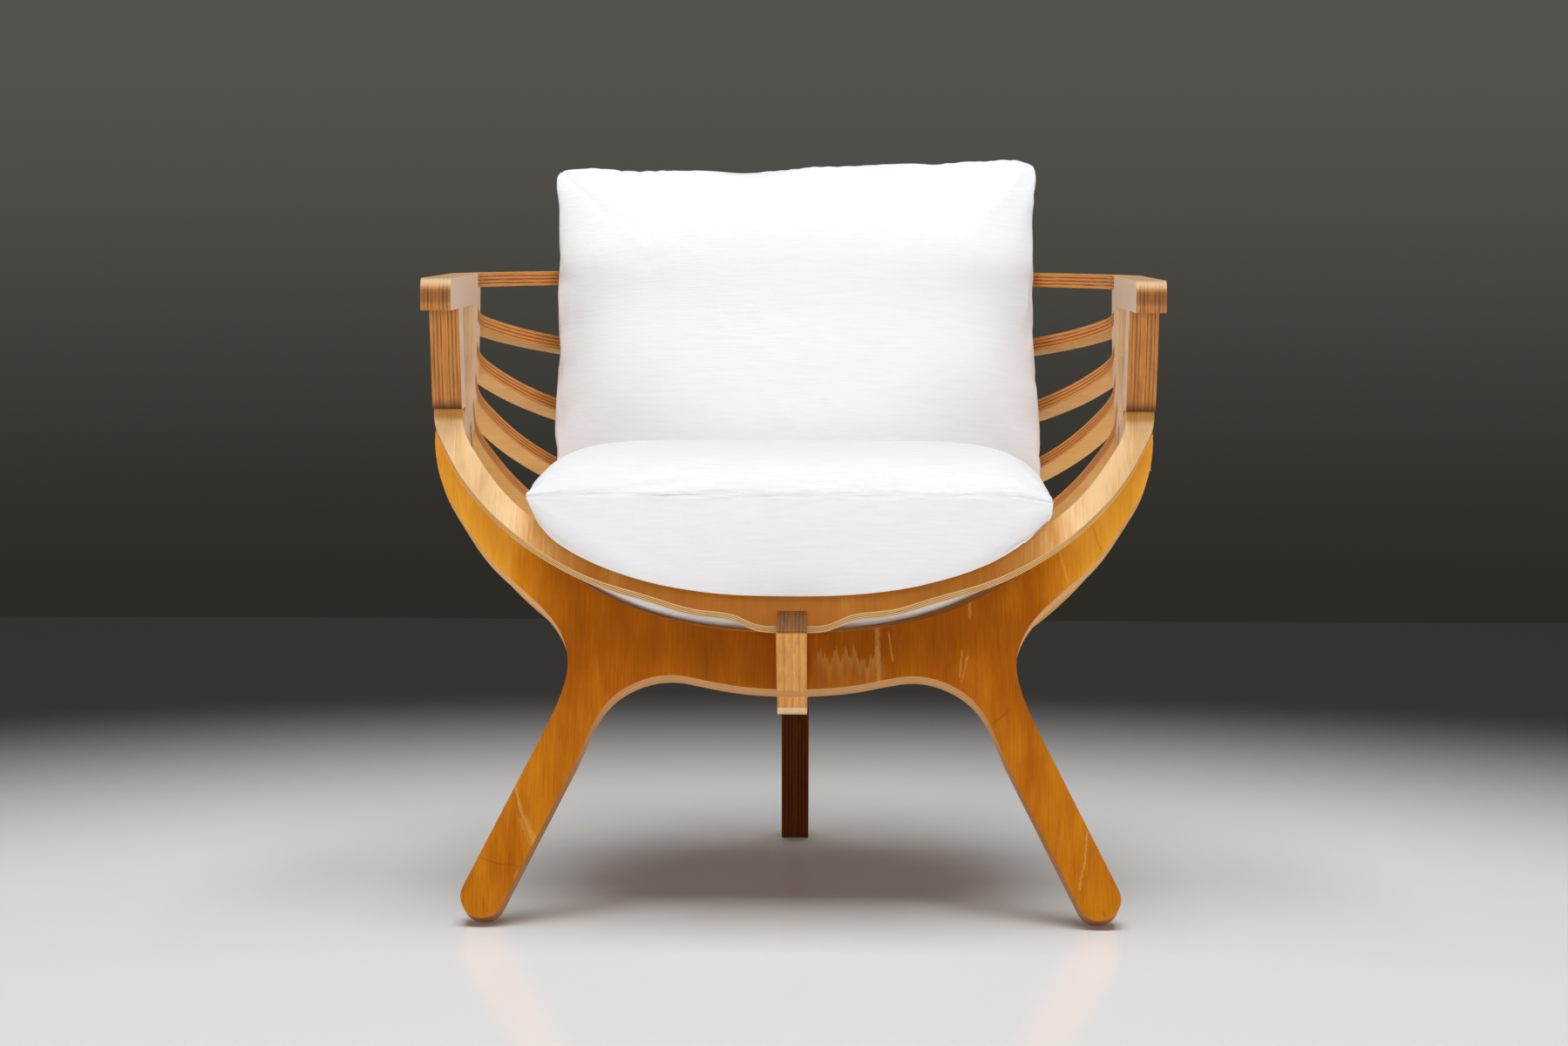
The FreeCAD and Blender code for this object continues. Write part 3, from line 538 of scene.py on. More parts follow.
sideValues = {
    "nodes": ["left_side_outer_board", "left_side_inner_board",
              "right_side_inner_board", "right_side_outer_board"],
    "paleZ": (0.45, 0.62), "pale": 0.22,   # painted highlight: paler towards the arm
    # painted shadow at the foot of the arm post, where it stands on the front hoop
    "footZ": (0.500, 0.514), "footY": (-0.140, -0.134), "foot": 0.90,
    # dark band round the arm's end
    "bandLow": (0.609, 0.615), "bandHigh": (0.621, 0.628), "bandY": (-0.262, -0.255), "band": 0.42,
    # painted highlights on the arm window's far edge and on the top of the arm
    "windowY": (-0.118, -0.108), "armTopZ": (0.624, 0.632), "paleAndHighlight": 0.5,
}


def dressSides():
    v = sideValues

    # painted highlight, paler towards the arm
    def shade(x, y, z):
        return z.ramp(*v["paleZ"]) * v["pale"]

    # painted shadow at the foot of the arm post, and the dark band round the arm's end
    def stainAndShade(x, y, z, forward):
        foot = z.ramp(*v["footZ"], v["foot"], 0.0) * y.ramp(*v["footY"], 1.0, 0.0)
        band = z.ramp(*v["bandLow"]) * z.ramp(*v["bandHigh"], 1.0, 0.0)
        return foot + band * y.ramp(*v["bandY"], v["band"], 0.0)

    # painted highlights on the arm window's far edge and the top of the arm
    def paleAndHighlight(x, y, z):
        return y.ramp(*v["windowY"], 0.0, v["paleAndHighlight"]).atLeast(z.ramp(*v["armTopZ"], 0.0, v["paleAndHighlight"]))

    for number, node in enumerate(v["nodes"]):
        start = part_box(node)[0][0]
        # the inner boards get the paler veneer and more lift, partly as painted highlight
        inner = "inner" in node
        dress(node, plywood("veneerSide%d" % number, (1, 0, 0), (0, 0.25, 1), start, 51.0 + 5.3 * number,
                            "inner" if inner else "outer", "amber", lift=0.26 if inner else 0.02, lines=0.7,
                            coat=0.30, blotch=0.6, shade=shade, stainAndShade=stainAndShade, paleAndHighlight=paleAndHighlight))


spineValues = {
    "nodes": ["spine_left_board", "spine_right_board"],
    # walnut-dark bevel of the nose, with hardly any lines
    "bevelZ": (0.2905, 0.2925), "bevelY": (-0.26, -0.24), "bevel": 0.74,
    "noseLines": 0.14, "bevelLines": 0.7, "linesY": (-0.14, -0.10), "rearLines": 0.9,
    # painted shade on the front edge of the rear leg, which stands in the shade under the seat
    "legY": (0.0, 0.05), "legZ": (0.20, 0.24),
    # the lower end of the stub is paler
    "stubZ": (0.2022, 0.2042), "stubY": (-0.20, -0.19), "stub": 0.80,
}


def dressSpine():
    v = spineValues

    # the nose bevel's dark tone, and painted shade on the rear leg's front edge
    def stainAndShade(x, y, z, forward):
        leg = y.ramp(*v["legY"]) * z.ramp(*v["legZ"], 1.0, 0.0)
        return z.ramp(*v["bevelZ"]) * y.ramp(*v["bevelY"], 1.0, 0.0) * v["bevel"] + leg * forward

    def lines(x, y, z):
        nose = z.ramp(*v["bevelZ"], v["noseLines"], v["bevelLines"])
        return nose.atLeast(y.ramp(*v["linesY"], 0.0, v["rearLines"]))

    def paleAndHighlight(x, y, z):
        return z.ramp(*v["stubZ"], v["stub"], 0.0) * y.ramp(*v["stubY"], 1.0, 0.0)

    for number, node in enumerate(v["nodes"]):
        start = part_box(node)[0][0]
        dress(node, plywood("veneerSpine%d" % number, (1, 0, 0), (0, 0.2, 1), start, 81.0 + 4.9 * number,
                            lift=0.04, lines=lines, coat=0.06, blotch=0.3, stainAndShade=stainAndShade, paleAndHighlight=paleAndHighlight))


dressLegs()
dressRim()
dressHoops()
dressSides()
dressSpine()
print("plywood done")


# cushions: a flat cover is blown up for its puckers, which then go on the cushion's own form

clothValues = {
    "step": 0.0075, "crown": 0.012, "unevenness": 0.0002,
    "frames": 22, "quality": 5, "pressure": 4.0, "mass": 0.25,
    "tension": 25, "shear": 8, "bending": 0.35,
    "smoothing": 40, "reach": 6,        # rounds of smoothing, and cells along a seam
    "cornerBlend": 24,                  # cells over which one seam's direction gives way to the other's
    "grooveWidth": 0.0020,
}


def sheetIndex(nu, nv):
    # numbers of the points of two sheets that share their rim
    upper = np.arange(nu * nv).reshape(nu, nv)
    lower = upper.copy()
    lower[1:-1, 1:-1] = nu * nv + np.arange((nu - 2) * (nv - 2)).reshape(nu - 2, nv - 2)
    return np.stack([upper, lower])


def closedSheets(name, top, bottom):
    # joins two (nu, nv, 3) sheets along their common rim
    points = top.reshape(-1, 3).tolist() + bottom[1:-1, 1:-1].reshape(-1, 3).tolist()
    faces = []
    for grid, turn in zip(sheetIndex(*top.shape[:2]), (1, -1)):
        corners = np.stack([grid[:-1, :-1], grid[1:, :-1], grid[1:, 1:], grid[:-1, 1:]], -1)
        faces += corners.reshape(-1, 4)[:, ::turn].tolist()
    mesh = bpy.data.meshes.new(name)
    mesh.from_pydata(points, [], faces)
    mesh.update()
    for face in mesh.polygons:
        face.use_smooth = True
    thing = bpy.data.objects.new(name, mesh)
    scene.collection.objects.link(thing)
    return thing


def blownCover(cover):
    # the points of a closed cover after some frames of air pressure
    v = clothValues
    cloth = cover.modifiers.new("Cloth", "CLOTH")
    settings = cloth.settings
    settings.quality = v["quality"]
    settings.mass = v["mass"]
    settings.tension_stiffness = v["tension"]
    settings.compression_stiffness = v["tension"]
    settings.shear_stiffness = v["shear"]
    settings.bending_stiffness = v["bending"]
    settings.use_pressure = True
    settings.uniform_pressure_force = v["pressure"]
    settings.effector_weights.gravity = 0
    cloth.collision_settings.use_collision = False
    cloth.point_cache.frame_start = 1
    cloth.point_cache.frame_end = v["frames"]
    for number in range(1, v["frames"] + 1):
        scene.frame_set(number)
    blown = cover.evaluated_get(bpy.context.evaluated_depsgraph_get()).to_mesh()
    flat = np.empty(len(blown.vertices) * 3)
    blown.vertices.foreach_get("co", flat)
    bpy.data.objects.remove(cover)
    scene.frame_set(1)
    return flat.reshape(-1, 3)


def puckers(width, depth, seed):
    # how far each point of the two sheets of a blown cover lies off its smooth form
    v = clothValues
    nx = int(width / v["step"]) + 1
    ny = int(depth / v["step"]) + 1
    u = np.linspace(-1, 1, nx)[:, None] * np.ones((1, ny))
    w = np.ones((nx, 1)) * np.linspace(-1, 1, ny)[None, :]
    rng = np.random.default_rng(seed)
    crown = v["crown"] * ((1 - u ** 2) * (1 - w ** 2)) ** 0.5
    top = np.stack([u * width / 2, w * depth / 2, crown], -1)
    bottom = top * (1, 1, -1)
    top[..., 2] += rng.normal(0, v["unevenness"], (nx, ny))
    bottom[1:-1, 1:-1, 2] += rng.normal(0, v["unevenness"], (nx - 2, ny - 2))
    found = blownCover(closedSheets("blownCover", top, bottom))
    sheets = found[sheetIndex(nx, ny)]
    smooth = sheets.copy()
    for turn in range(v["smoothing"]):
        beside = smooth[:, :-2, 1:-1] + smooth[:, 2:, 1:-1] + smooth[:, 1:-1, :-2] + smooth[:, 1:-1, 2:]
        smooth[:, 1:-1, 1:-1] = beside / 4
        for line in (smooth[:, :, 0], smooth[:, :, -1], smooth[:, 0], smooth[:, -1]):
            line[:, 1:-1] = (line[:, :-2] + line[:, 2:]) / 2
    thick, wide = np.ptp(found[:, 2]), np.ptp(found[:, 0])
    print("blown cover: thick", round(float(thick), 3), "wide", round(float(wide), 3))
    return alongSeams(sheets - smooth)


def alongSeams(found):
    # keeps only what changes along the nearest seam
    reach = clothValues["reach"]
    nx, ny = found.shape[1:3]
    u = np.abs(np.linspace(-1, 1, nx))[:, None]
    w = np.abs(np.linspace(-1, 1, ny))[None, :]
    turned = (nx * (u - 1) - ny * (w - 1)) / clothValues["cornerBlend"]
    sideways = np.clip(0.5 + turned, 0, 1)[None, :, :, None]
    kept = []
    for axis in (1, 2):
        last = found.shape[axis] - 1
        total = np.zeros_like(found)
        for step in range(-reach, reach + 1):
            total += np.take(found, np.clip(np.arange(last + 1) + step, 0, last), axis=axis)
        kept.append(found - total / (2 * reach + 1))
    return kept[0] * (1 - sideways) + kept[1] * sideways


def resampled(grid, nu, nv):
    # bilinear resample of a (nx, ny, 3) grid
    nx, ny = grid.shape[:2]
    a = np.linspace(0, nx - 1, nu)
    b = np.linspace(0, ny - 1, nv)
    i = np.clip(a.astype(int), 0, nx - 2)
    j = np.clip(b.astype(int), 0, ny - 2)
    shareA = (a - i)[:, None, None]
    shareB = (b - j)[None, :, None]
    low = grid[i][:, j] * (1 - shareA) + grid[i + 1][:, j] * shareA
    high = grid[i][:, j + 1] * (1 - shareA) + grid[i + 1][:, j + 1] * shareA
    return low * (1 - shareB) + high * shareB


def addPuckers(name, top, bottom, size, share, seed, axes):
    # axes: which of the flat cover's axes runs along each axis of the chair
    found = puckers(size[0], size[1], seed)
    nu, nv = top.shape[:2]
    for sheet, grid in ((0, top), (1, bottom)):
        part = resampled(found[sheet], nu, nv) * share
        grid += part[..., list(axes)]
        print("puckers:", name, sheet, round(1000 * float(np.abs(part).max()), 1), "mm")


def rimDistance(grid):
    # distance of every point to the nearest seam, measured along the sheet
    nearest = np.full(grid.shape[:2], 1.0)
    for axis in (0, 1):
        steps = np.linalg.norm(np.diff(grid, axis=axis), axis=-1)
        start = np.insert(np.cumsum(steps, axis=axis), 0, 0.0, axis=axis)
        end = np.take(start, [-1], axis=axis) - start
        nearest = np.minimum(nearest, np.minimum(start, end))
    return nearest


def pinchSeam(top, bottom, deep):
    # the seam sinks into a narrow groove between the two sheets
    middle = 0.5 * (top.mean((0, 1)) + bottom.mean((0, 1)))
    for grid in (top, bottom):
        inward = middle - grid
        inward /= np.linalg.norm(inward, axis=-1, keepdims=True)
        sink = deep * np.exp(-(rimDistance(grid) / clothValues["grooveWidth"]) ** 2)
        grid += inward * sink[..., None]
    rim = np.ones(top.shape[:2], bool)
    rim[1:-1, 1:-1] = False
    bottom[rim] = top[rim]


gatherValues = {
    "waves": 14, "length": (0.022, 0.075), "height": (0.3, 1.0), "phase": (0, 6.3), "scale": 0.2,
    "patch": 0.31, "least": 0.35,       # length of the rougher patches, and what is left between them
}


def gathers(x, seed):
    # soft uneven folds that run away from a seam, as a height for every place along it
    v = gatherValues
    rng = np.random.default_rng(seed)
    total = np.zeros_like(x)
    for wave in range(v["waves"]):
        length = rng.uniform(*v["length"])
        total += rng.uniform(*v["height"]) * np.sin(2 * math.pi * x / length + rng.uniform(*v["phase"]))
    patch = 0.5 + 0.5 * np.sin(2 * math.pi * x / v["patch"] + seed)
    return total * v["scale"] * (v["least"] + (1 - v["least"]) * patch)


def fading(away, peak):
    # rises from the seam to 1 at peak, then dies away
    return away / peak * np.exp(1 - away / peak)


def curveThrough(points, shares):
    # smooth curve through points (n, 2) at shares 0..1, spaced by index
    points = np.asarray(points, float)
    count = len(points) - 1
    padded = np.concatenate([[2 * points[0] - points[1]], points, [2 * points[-1] - points[-2]]])
    out = []
    for share in shares:
        at = min(max(share, 0.0), 1.0) * count
        k = min(int(at), count - 1)
        t = at - k
        p0, p1, p2, p3 = padded[k:k + 4]
        out.append(0.5 * (2 * p1 + (p2 - p0) * t + (2 * p0 - 5 * p1 + 4 * p2 - p3) * t ** 2
                          + (3 * p1 - p0 - 3 * p2 + p3) * t ** 3))
    return np.array(out)


def spread(count, tight=0.75):
    # parameters from -1 to 1, denser towards both seams
    t = np.linspace(-1, 1, count)
    return (1 - tight) * t + tight * np.sin(t * math.pi / 2)


def rounded(u, square, root):
    # 1 in the middle and 0 at both seams, fuller with a higher square and a lower root
    return (1 - abs(u) ** square) ** root


fabricValues = {
    "white": (0.812, 0.820, 0.842),
    "shade": (0.784, 0.794, 0.822),
    "slub": (34, 60, 430), "fine": (260, 900, 1500), "crinkle": (30, 30, 55),
    "slope": 0.35, "shadeRange": (0.35, 0.72),
    "slubBump": 0.6, "fineBump": 0.3, "crinkleBump": 0.8, "bumpStrength": 0.36, "bumpDistance": 0.0012,
    "roughness": 0.92, "sheen": 0.15, "specular": 0.2,
}


def fabric(name):
    v = fabricValues
    shader = Finish(name)
    x, y, z = shader.place().parts()

    def woven(part, height, *look):
        across, deep, high = v[part]
        return shader.noise(shader.vector(x * across, y * deep, height * high), *look)

    up = z + y * v["slope"]
    slubs = woven("slub", up, 3.0, 0.6, 0.15)
    fine = woven("fine", up, 2.0, 0.5)
    crinkle = woven("crinkle", z, 4.0, 0.55, 0.4)
    height = slubs * v["slubBump"] + fine * v["fineBump"] + crinkle * v["crinkleBump"]
    shader.set(
        Base_Color=shader.blend(slubs.ramp(*v["shadeRange"]), v["white"], v["shade"]),
        Roughness=v["roughness"],
        Sheen_Weight=v["sheen"],
        Specular_IOR_Level=v["specular"],
        Normal=shader.bump(height, v["bumpStrength"], v["bumpDistance"]),
    )
    return shader.material


coverFabric = fabric("whiteSlubFabric")


def finishCushion(name, top, bottom, body, nodes):
    for grid in (top, bottom):
        grid[..., 1] -= boardValues["setback"]  # from the line of the front feet to the origin
    thing = closedSheets(name, top, bottom)
    thing.data.materials.append(coverFabric)
    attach(thing, body)
    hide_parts(*nodes)


# forms of the cushions: here y counts from the line of the front feet, until finishCushion

def hoopReach(x, depth):
    q = min(abs(x) / boardValues["half"], 1)
    return depth * (1 - q ** 2.5) ** (1 / 1.5)


def rimEdge(x, behind):
    # inner edge of the front hoop of the seat at x: on its front face, or behind it
    v = boardValues
    a = math.radians(v["rimLean"])
    rise = v["rimStart"] - hoopReach(x, v["rimDepth"])
    y = v["rimFoot"][0] + rise * math.sin(a) + behind * math.cos(a)
    z = v["rimFoot"][1] + rise * math.cos(a) - behind * math.sin(a)
    return y, z


def legsEdge(x, behind):
    # top edge of the front leg plate at x: on its front face, or behind it
    v = boardValues
    a = math.radians(v["legLean"])
    rise = v["cradleRise"] + v["cradleHang"] - hoopReach(x, v["cradleHang"])
    y = legFoot()[1] + v["setback"] + rise * math.sin(a) + behind * math.cos(a)
    z = legFoot()[2] + rise * math.cos(a) - behind * math.sin(a)
    return y, z


seatValues = {
    "halfWidth": 0.2640, "shiftX": -0.003, "nu": 190, "nv": 150, "stations": 120,
    "front": 0.030, "frontRound": 0.003, "seam": 0.4240,
    "rear": 0.4450, "rearRound": 0.090, "rearSeam": 0.3620,
    "sagFrom": 0.86, "sagLeft": 0.002, "sagRight": 0.0075,
    # height over the seams by share of the depth
    "top": [(0.0, 0.0), (0.010, 0.0072), (0.042, 0.0225), (0.140, 0.0450), (0.340, 0.0660), (0.560, 0.0690),
            (0.730, 0.0550), (0.863, 0.0340), (0.952, 0.0160), (0.995, 0.0070), (1.0, 0.0)],
    # how the sides close: square and root
    "closeTop": (7, 0.504), "closeLow": (26, 0.5), "closeSide": 60,
    "earFrom": 0.9, "ear": 0.80, "earRoot": (38, 0.5), "earTip": (700, 0.5),
    # front face: share of the way to the lip and of the drop
    "fall": [(0.10, 0.30), (0.32, 0.55), (0.66, 0.80)],
    "plumb": 0.0004, "plumbDrop": 0.10, "overhang": 0.0070, "lipShare": 0.65, "lipAhead": 0.0042,
    # underside: offsets from what it lies on or hangs between
    "lip": [(-0.0005, 0.0030), (0.0016, 0.0002)],
    "rim": [(-0.0032, -0.0020), (-0.0006, 0.0014)],
    "behindRim": [(0.0004, 0.0014)],
    "gap": [(0.004, 0.0035)],
    "legs": [(0.012, 0.0035)],
    "behindLegs": [(0.030, 0.0005)],
    "bowl": [(0.030, 0.0)],
    "rearUnder": [(-0.050, 0.0)],
    "underSeam": [(-0.008, -0.014)],
    "legsTo": 0.2425,                   # the underside follows the leg plate's edge as far as this
    "pucker": 0.26, "coverSize": (0.55, 0.45), "pinch": 0.0026, "sidePull": 0.016,
    "gather": 0.0018, "gatherPeak": 0.05, "gatherTo": 0.30, "topGather": 0.6,
}


def seatUnderside(x, front, rear, seamAt):
    # side view of the front face and the underside at x, from the front seam to the rear one
    v = seatValues
    thick = boardValues["thick"]
    rimY, rimZ = rimEdge(x, 0.0)
    backY, backZ = rimEdge(x, thick)
    inside = min(abs(x), v["legsTo"])
    legY, legZ = legsEdge(inside, 0.0)
    endY = legsEdge(inside, 2 * thick)[0]
    seam, rearSeam = seamAt(front), seamAt(rear)
    drop = seam - rimZ + v["overhang"]
    lipY = rimY - v["lipShare"] * v["overhang"] - v["lipAhead"]

    def near(y, z, name):
        return [(y + offY, z + offZ) for offY, offZ in v[name]]

    points = [(front, seam), (front + v["plumb"], seam - drop * v["plumbDrop"])]
    points += [(front + share * (lipY - front), seam - drop * down) for share, down in v["fall"]]
    points += near(lipY, rimZ - v["overhang"], "lip")
    points += near(rimY, rimZ, "rim")
    points += near(backY, backZ, "behindRim")
    points += near(0.5 * (backY + legY), 0.5 * (backZ + legZ), "gap")
    points += near(legY, legZ, "legs")
    points += near(endY, legZ, "behindLegs")
    points += near(0.5 * (endY + rear), legZ, "bowl")
    points += near(rear, rearSeam - 0.5 * (rearSeam - legZ), "rearUnder")
    points += near(rear, rearSeam, "underSeam")
    return points + [(rear, rearSeam)]


def seatSection(u, shares, stations, crown):
    # one row of the upper sheet and one of the lower sheet
    v = seatValues
    x = u * v["halfWidth"]
    rear = v["rear"] - v["rearRound"] * abs(u) ** 3
    front = v["front"] + v["frontRound"] * u ** 2
    sag = v["sagRight"] if u > 0 else v["sagLeft"]
    sag *= max(abs(u) - v["sagFrom"], 0.0) / (1 - v["sagFrom"])

    def seamAt(y):
        share = (y - front) / (rear - front)
        return v["seam"] + (v["rearSeam"] - v["seam"]) * share - sag * np.maximum(1 - 4 * share, 0)

    closeTop = rounded(u, *v["closeTop"])
    closeLow = rounded(u, *v["closeLow"])
    if u > v["earFrom"]:
        # the right front corner stands up in a small fold
        closeLow = max(rounded(u, *v["earRoot"]), v["ear"] * rounded(u, *v["earTip"]))
    closeSide = 1 - abs(u) ** v["closeSide"]
    lower = curveThrough(seatUnderside(x, front, rear, seamAt), shares)
    topY = front + (rear - front) * np.interp(shares, stations, crown[:, 0])
    seamY = np.sort(0.5 * (topY + np.maximum(lower[:, 0], front)))
    topY = seamY + (topY - seamY) * closeSide
    lowY = seamY + (lower[:, 0] - seamY) * closeSide
    rise = np.interp((topY - front) / (rear - front), crown[:, 0], crown[:, 1])
    topZ = seamAt(topY) + rise * closeTop
    lowZ = seamAt(lowY) + (lower[:, 1] - seamAt(lower[:, 0])) * closeLow
    across = np.full(len(shares), x)
    return np.stack([across, topY, topZ], -1), np.stack([across, lowY, lowZ], -1)


def seatCushion():
    v = seatValues
    us = spread(v["nu"])
    vs = spread(v["nv"])
    stations = np.linspace(0, 1, v["stations"])
    crown = curveThrough(v["top"], stations)
    rows = [seatSection(u, (vs + 1) / 2, stations, crown) for u in us]
    top = np.stack([row[0] for row in rows])
    bottom = np.stack([row[1] for row in rows])
    # folds below and above the front seam, fading away from it
    along = top[:, :1, 0]
    away = (vs + 1)[None, :]
    fold = v["gather"] * fading(away, v["gatherPeak"])
    bottom[..., 1] -= fold * gathers(along, 3) * (away < v["gatherTo"])
    top[..., 2] += fold * gathers(along, 4) * v["topGather"]
    # side seams draw in a little between the corners
    pull = 1 - v["sidePull"] * (1 - vs ** 2)[None, :] * np.abs(us)[:, None] ** 3
    for grid in (top, bottom):
        grid[..., 0] *= pull
        grid[..., 0] += v["shiftX"]
    addPuckers("seat", top, bottom, v["coverSize"], v["pucker"], seed=5, axes=(0, 1, 2))
    pinchSeam(top, bottom, v["pinch"])
    nodes = ["seat_cushion_cover", "seat_cushion_filling"]
    finishCushion("seatCushion", top, bottom, "seat_cushion", nodes)


backValues = {
    "foot": (0.3880, 0.4075), "top": (0.5353, 0.7536), "nu": 190, "nv": 140,
    # crown of each side, then how it closes: square and root across and up
    "front": (0.050, (3.4, 0.66), (3.0, 0.70)), "rear": (0.083, (2.6, 0.85), (2.2, 0.92)),
    # half width on each side, from the lower seam at -1 to the upper one at 1
    "leftAt": [-1, -0.8, -0.7, -0.165, 0.494, 0.737, 0.858, 0.95, 1],
    "left": [0.262, 0.262, 0.2625, 0.2614, 0.2650, 0.2655, 0.2690, 0.2680, 0.2640],
    "rightAt": [-1, -0.8, -0.586, -0.153, 0.506, 0.673, 0.795, 0.9, 0.97, 1],
    "right": [0.266, 0.2670, 0.2655, 0.2607, 0.2615, 0.2606, 0.2645, 0.2670, 0.2660, 0.2625],
    # height of the upper seam over a straight line, across the cushion
    "edgeAt": [-0.265, -0.258, -0.232, -0.188, -0.080, -0.050, 0.076, 0.110, 0.171, 0.216, 0.245, 0.258,
               0.265],
    "edge": [-0.0075, -0.006, -0.0020, -0.0060, -0.0068, -0.0060, 0.0008, 0.0030, 0.0038, 0.0080, 0.0078,
             0.0045, -0.0010],
    "sideRounds": 14, "edgeRounds": 6,
    "lump": 0.0011, "lumpPitch": 0.0165, "lumpWander": (1.3, 47), "lumpRoot": 0.7, "lumpLevel": 0.6,
    "lumpPatch": 31,
    "pucker": 0.34, "coverSize": (0.55, 0.36), "pinch": 0.0006, "gather": 0.0010, "gatherPeak": 0.06,
}


def softened(values, places, at, rounds):
    # a table of values read at places and rounded off
    found = np.interp(places, at, values)
    for turn in range(rounds):
        found[1:-1] = (found[:-2] + 2 * found[1:-1] + found[2:]) / 4
    return found


def upperEdge(us, spots):
    # the upper seam's height, with small lumps that come and go
    v = backValues
    swing, wander = v["lumpWander"]
    lumps = np.abs(np.sin(math.pi * spots / v["lumpPitch"] + swing * np.sin(spots * wander)))
    patch = 0.5 + 0.5 * np.sin(spots * v["lumpPatch"] + 1.0)
    lumps = v["lump"] * (lumps ** v["lumpRoot"] - v["lumpLevel"]) * patch * (1 - np.abs(us) ** 12)
    return softened(v["edge"], spots, v["edgeAt"], v["edgeRounds"]) + lumps


def backCushion():
    v = backValues
    us = spread(v["nu"])
    vs = spread(v["nv"])
    foot = np.array(v["foot"])
    head = np.array(v["top"])
    long = np.linalg.norm(head - foot)
    along = (head - foot) / long
    rearward = np.array([along[1], -along[0]])
    left = softened(v["left"], vs, v["leftAt"], v["sideRounds"])
    right = softened(v["right"], vs, v["rightAt"], v["sideRounds"])
    half = 0.5 * (left + right)
    centre = 0.5 * (right - left)
    spots = us * half[-1] + centre[-1]
    u = us[:, None]
    w = vs[None, :]
    x = centre + u * half
    rise = long * (w + 1) / 2 + upperEdge(us, spots)[:, None] * np.maximum(w, 0.0) ** 6 / along[1]
    middle = foot + along * rise[..., None]
    fold = v["gather"] * fading(1 - w, v["gatherPeak"]) * (1 - u * u)

    def sheet(name, direction, seed):
        crown, sides, ends = v[name]
        bulge = crown * rounded(u, *sides) * rounded(w, *ends) + fold * gathers(spots, seed)[:, None]
        return np.concatenate([x[..., None], middle + direction * rearward * bulge[..., None]], -1)

    front = sheet("front", -1, 7)
    rear = sheet("rear", 1, 8)
    addPuckers("back", front, rear, v["coverSize"], v["pucker"], seed=9, axes=(0, 2, 1))
    pinchSeam(rear, front, v["pinch"])
    nodes = ["back_cushion_cover", "back_cushion_filling"]
    finishCushion("backCushion", rear, front, "back_cushion", nodes)


seatCushion()
print("seat cushion done")
backCushion()
print("back cushion done")


# floor, lamps, backdrop and camera

floorValues = {
    "side": 3.4, "front": -3.4, "rear": 2.46,
    "pale": (0.955, 0.955, 0.95), "dark": (0.040, 0.036, 0.029),
    "fadeFrom": (0.0, -0.90, 0.0), "fade": (1.10, 2.42),   # painted pool of light: it darkens with the distance from here
    "roughness": 0.12, "specular": 0.10,
}


def makeFloor():
    v = floorValues
    side, front, rear = v["side"], v["front"], v["rear"]
    mesh = bpy.data.meshes.new("floor")
    corners = [(-side, front, 0), (side, front, 0), (side, rear, 0), (-side, rear, 0)]
    mesh.from_pydata(corners, [], [(0, 1, 2, 3)])
    floor = bpy.data.objects.new("floor", mesh)
    scene.collection.objects.link(floor)
    shader = Finish("paleFloor")
    sockets = [shader.place(), v["fadeFrom"]]
    far = shader.node("ShaderNodeVectorMath", {"operation": "DISTANCE"}, sockets, 1)
    # painted light: pale near the chair, dark further off
    colour = shader.blend(far.ramp(*v["fade"]), v["pale"], v["dark"])
    shader.set(Base_Color=colour, Roughness=v["roughness"], Specular_IOR_Level=v["specular"])
    mesh.materials.append(shader.material)


lampValues = {
    "key": {
        "position": (0.0, -0.15, 9.0), "target": (0, -0.15, 0.3),
        "size": (6.8, 7.2), "power": 795, "spread": 180,
    },
    "front": {
        "position": (0.0, -4.4, 1.10), "target": (0, 0, 1.10),
        "size": (1.0, 0.6), "power": 4.1, "spread": 32,
    },
    "fillLeft": {
        "position": (-2.9, -2.3, 0.40), "target": (0, 0, 0.65),
        "size": (1.7, 0.7), "power": 36, "spread": 180,
    },
    "fillRight": {
        "position": (2.9, -2.3, 0.40), "target": (0, 0, 0.65),
        "size": (1.7, 0.7), "power": 36, "spread": 180,
    },
}


def makeLamps():
    for name, v in lampValues.items():
        data = bpy.data.lights.new(name, "AREA")
        data.shape = "RECTANGLE"
        data.size, data.size_y = v["size"]
        data.energy = v["power"]
        data.spread = math.radians(v["spread"])
        lamp = bpy.data.objects.new(name, data)
        lamp.location = v["position"]
        aim = Vector(v["target"]) - Vector(v["position"])
        lamp.rotation_euler = aim.to_track_quat("-Z", "Y").to_euler()
        lamp.visible_glossy = name == "key"  # the others don't show in the varnish and the floor
        scene.collection.objects.link(lamp)


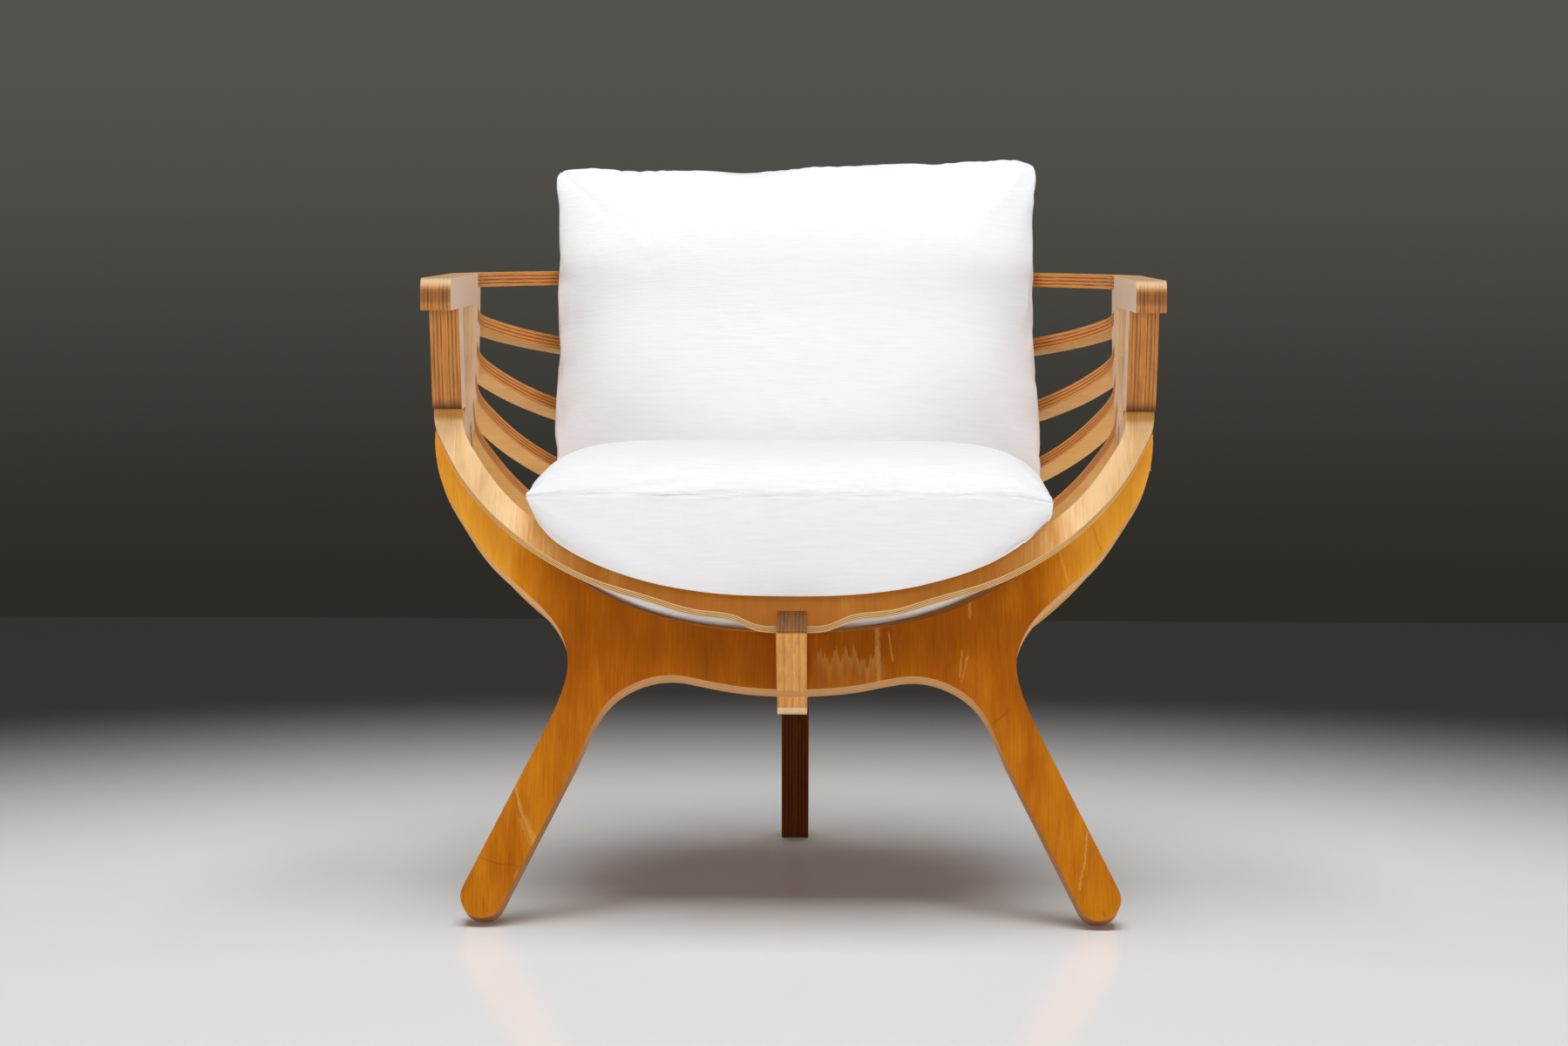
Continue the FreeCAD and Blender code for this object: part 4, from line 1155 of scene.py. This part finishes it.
worldValues = {
    "wallLow": (0.0245, 0.0236, 0.0190), "wallHigh": (0.0890, 0.0865, 0.0765),
    "wallSpan": (-0.106, 0.058),        # height of the view's direction
    "softColour": (1.0, 0.99, 0.98, 1.0), "soft": 0.04,
}


def makeWorld():
    # camera, glossy and transmitted rays see the backdrop; only diffuse rays meet the soft light
    v = worldValues
    world = bpy.data.worlds.new("studio")
    scene.world = world
    shader = Shader(world, "ShaderNodeOutputWorld")
    camera = shader.node("ShaderNodeLightPath", {}, {}, 0)
    glossy = shader.node("ShaderNodeLightPath", {}, {}, 4)
    transmitted = shader.node("ShaderNodeLightPath", {}, {}, 7)
    seen = (camera + glossy + transmitted).atMost(1.0)
    height = shader.node("ShaderNodeTexCoord", {}, {}, 0).parts()[2]
    wall = shader.blend(height.ramp(*v["wallSpan"]), v["wallLow"], v["wallHigh"])
    soft = shader.node("ShaderNodeBackground", {}, [v["softColour"], v["soft"]])
    back = shader.node("ShaderNodeBackground", {}, [wall, 1.0])
    shader.feed(shader.output.inputs[0], shader.node("ShaderNodeMixShader", {}, [seen, soft, back]))


cameraValues = {
    "position": (0.034, -3.933, 0.6982), "lens": 85.05, "sensor": 36.0,
    "pan": 0.6605, "pitch": 4.735, "roll": 0.2,
}


def makeCamera():
    v = cameraValues
    pan = math.radians(v["pan"])
    pitch = math.radians(v["pitch"])
    roll = math.radians(v["roll"])
    forward = Vector((-math.sin(pan) * math.cos(pitch), math.cos(pan) * math.cos(pitch), -math.sin(pitch)))
    right = forward.cross(Vector((0, 0, 1))).normalized()
    up = right.cross(forward)
    across = right * math.cos(roll) + up * math.sin(roll)
    upward = up * math.cos(roll) - right * math.sin(roll)
    data = bpy.data.cameras.new("camera")
    data.sensor_fit = "HORIZONTAL"
    data.sensor_width = v["sensor"]
    data.lens = v["lens"]
    camera = bpy.data.objects.new("camera", data)
    scene.collection.objects.link(camera)
    turn = Matrix((across, upward, -forward)).transposed().to_4x4()
    camera.matrix_world = Matrix.Translation(v["position"]) @ turn
    scene.camera = camera


makeFloor()
makeLamps()
makeWorld()
makeCamera()
scene.view_settings.view_transform = "Standard"
print("stage, lamps and camera done")
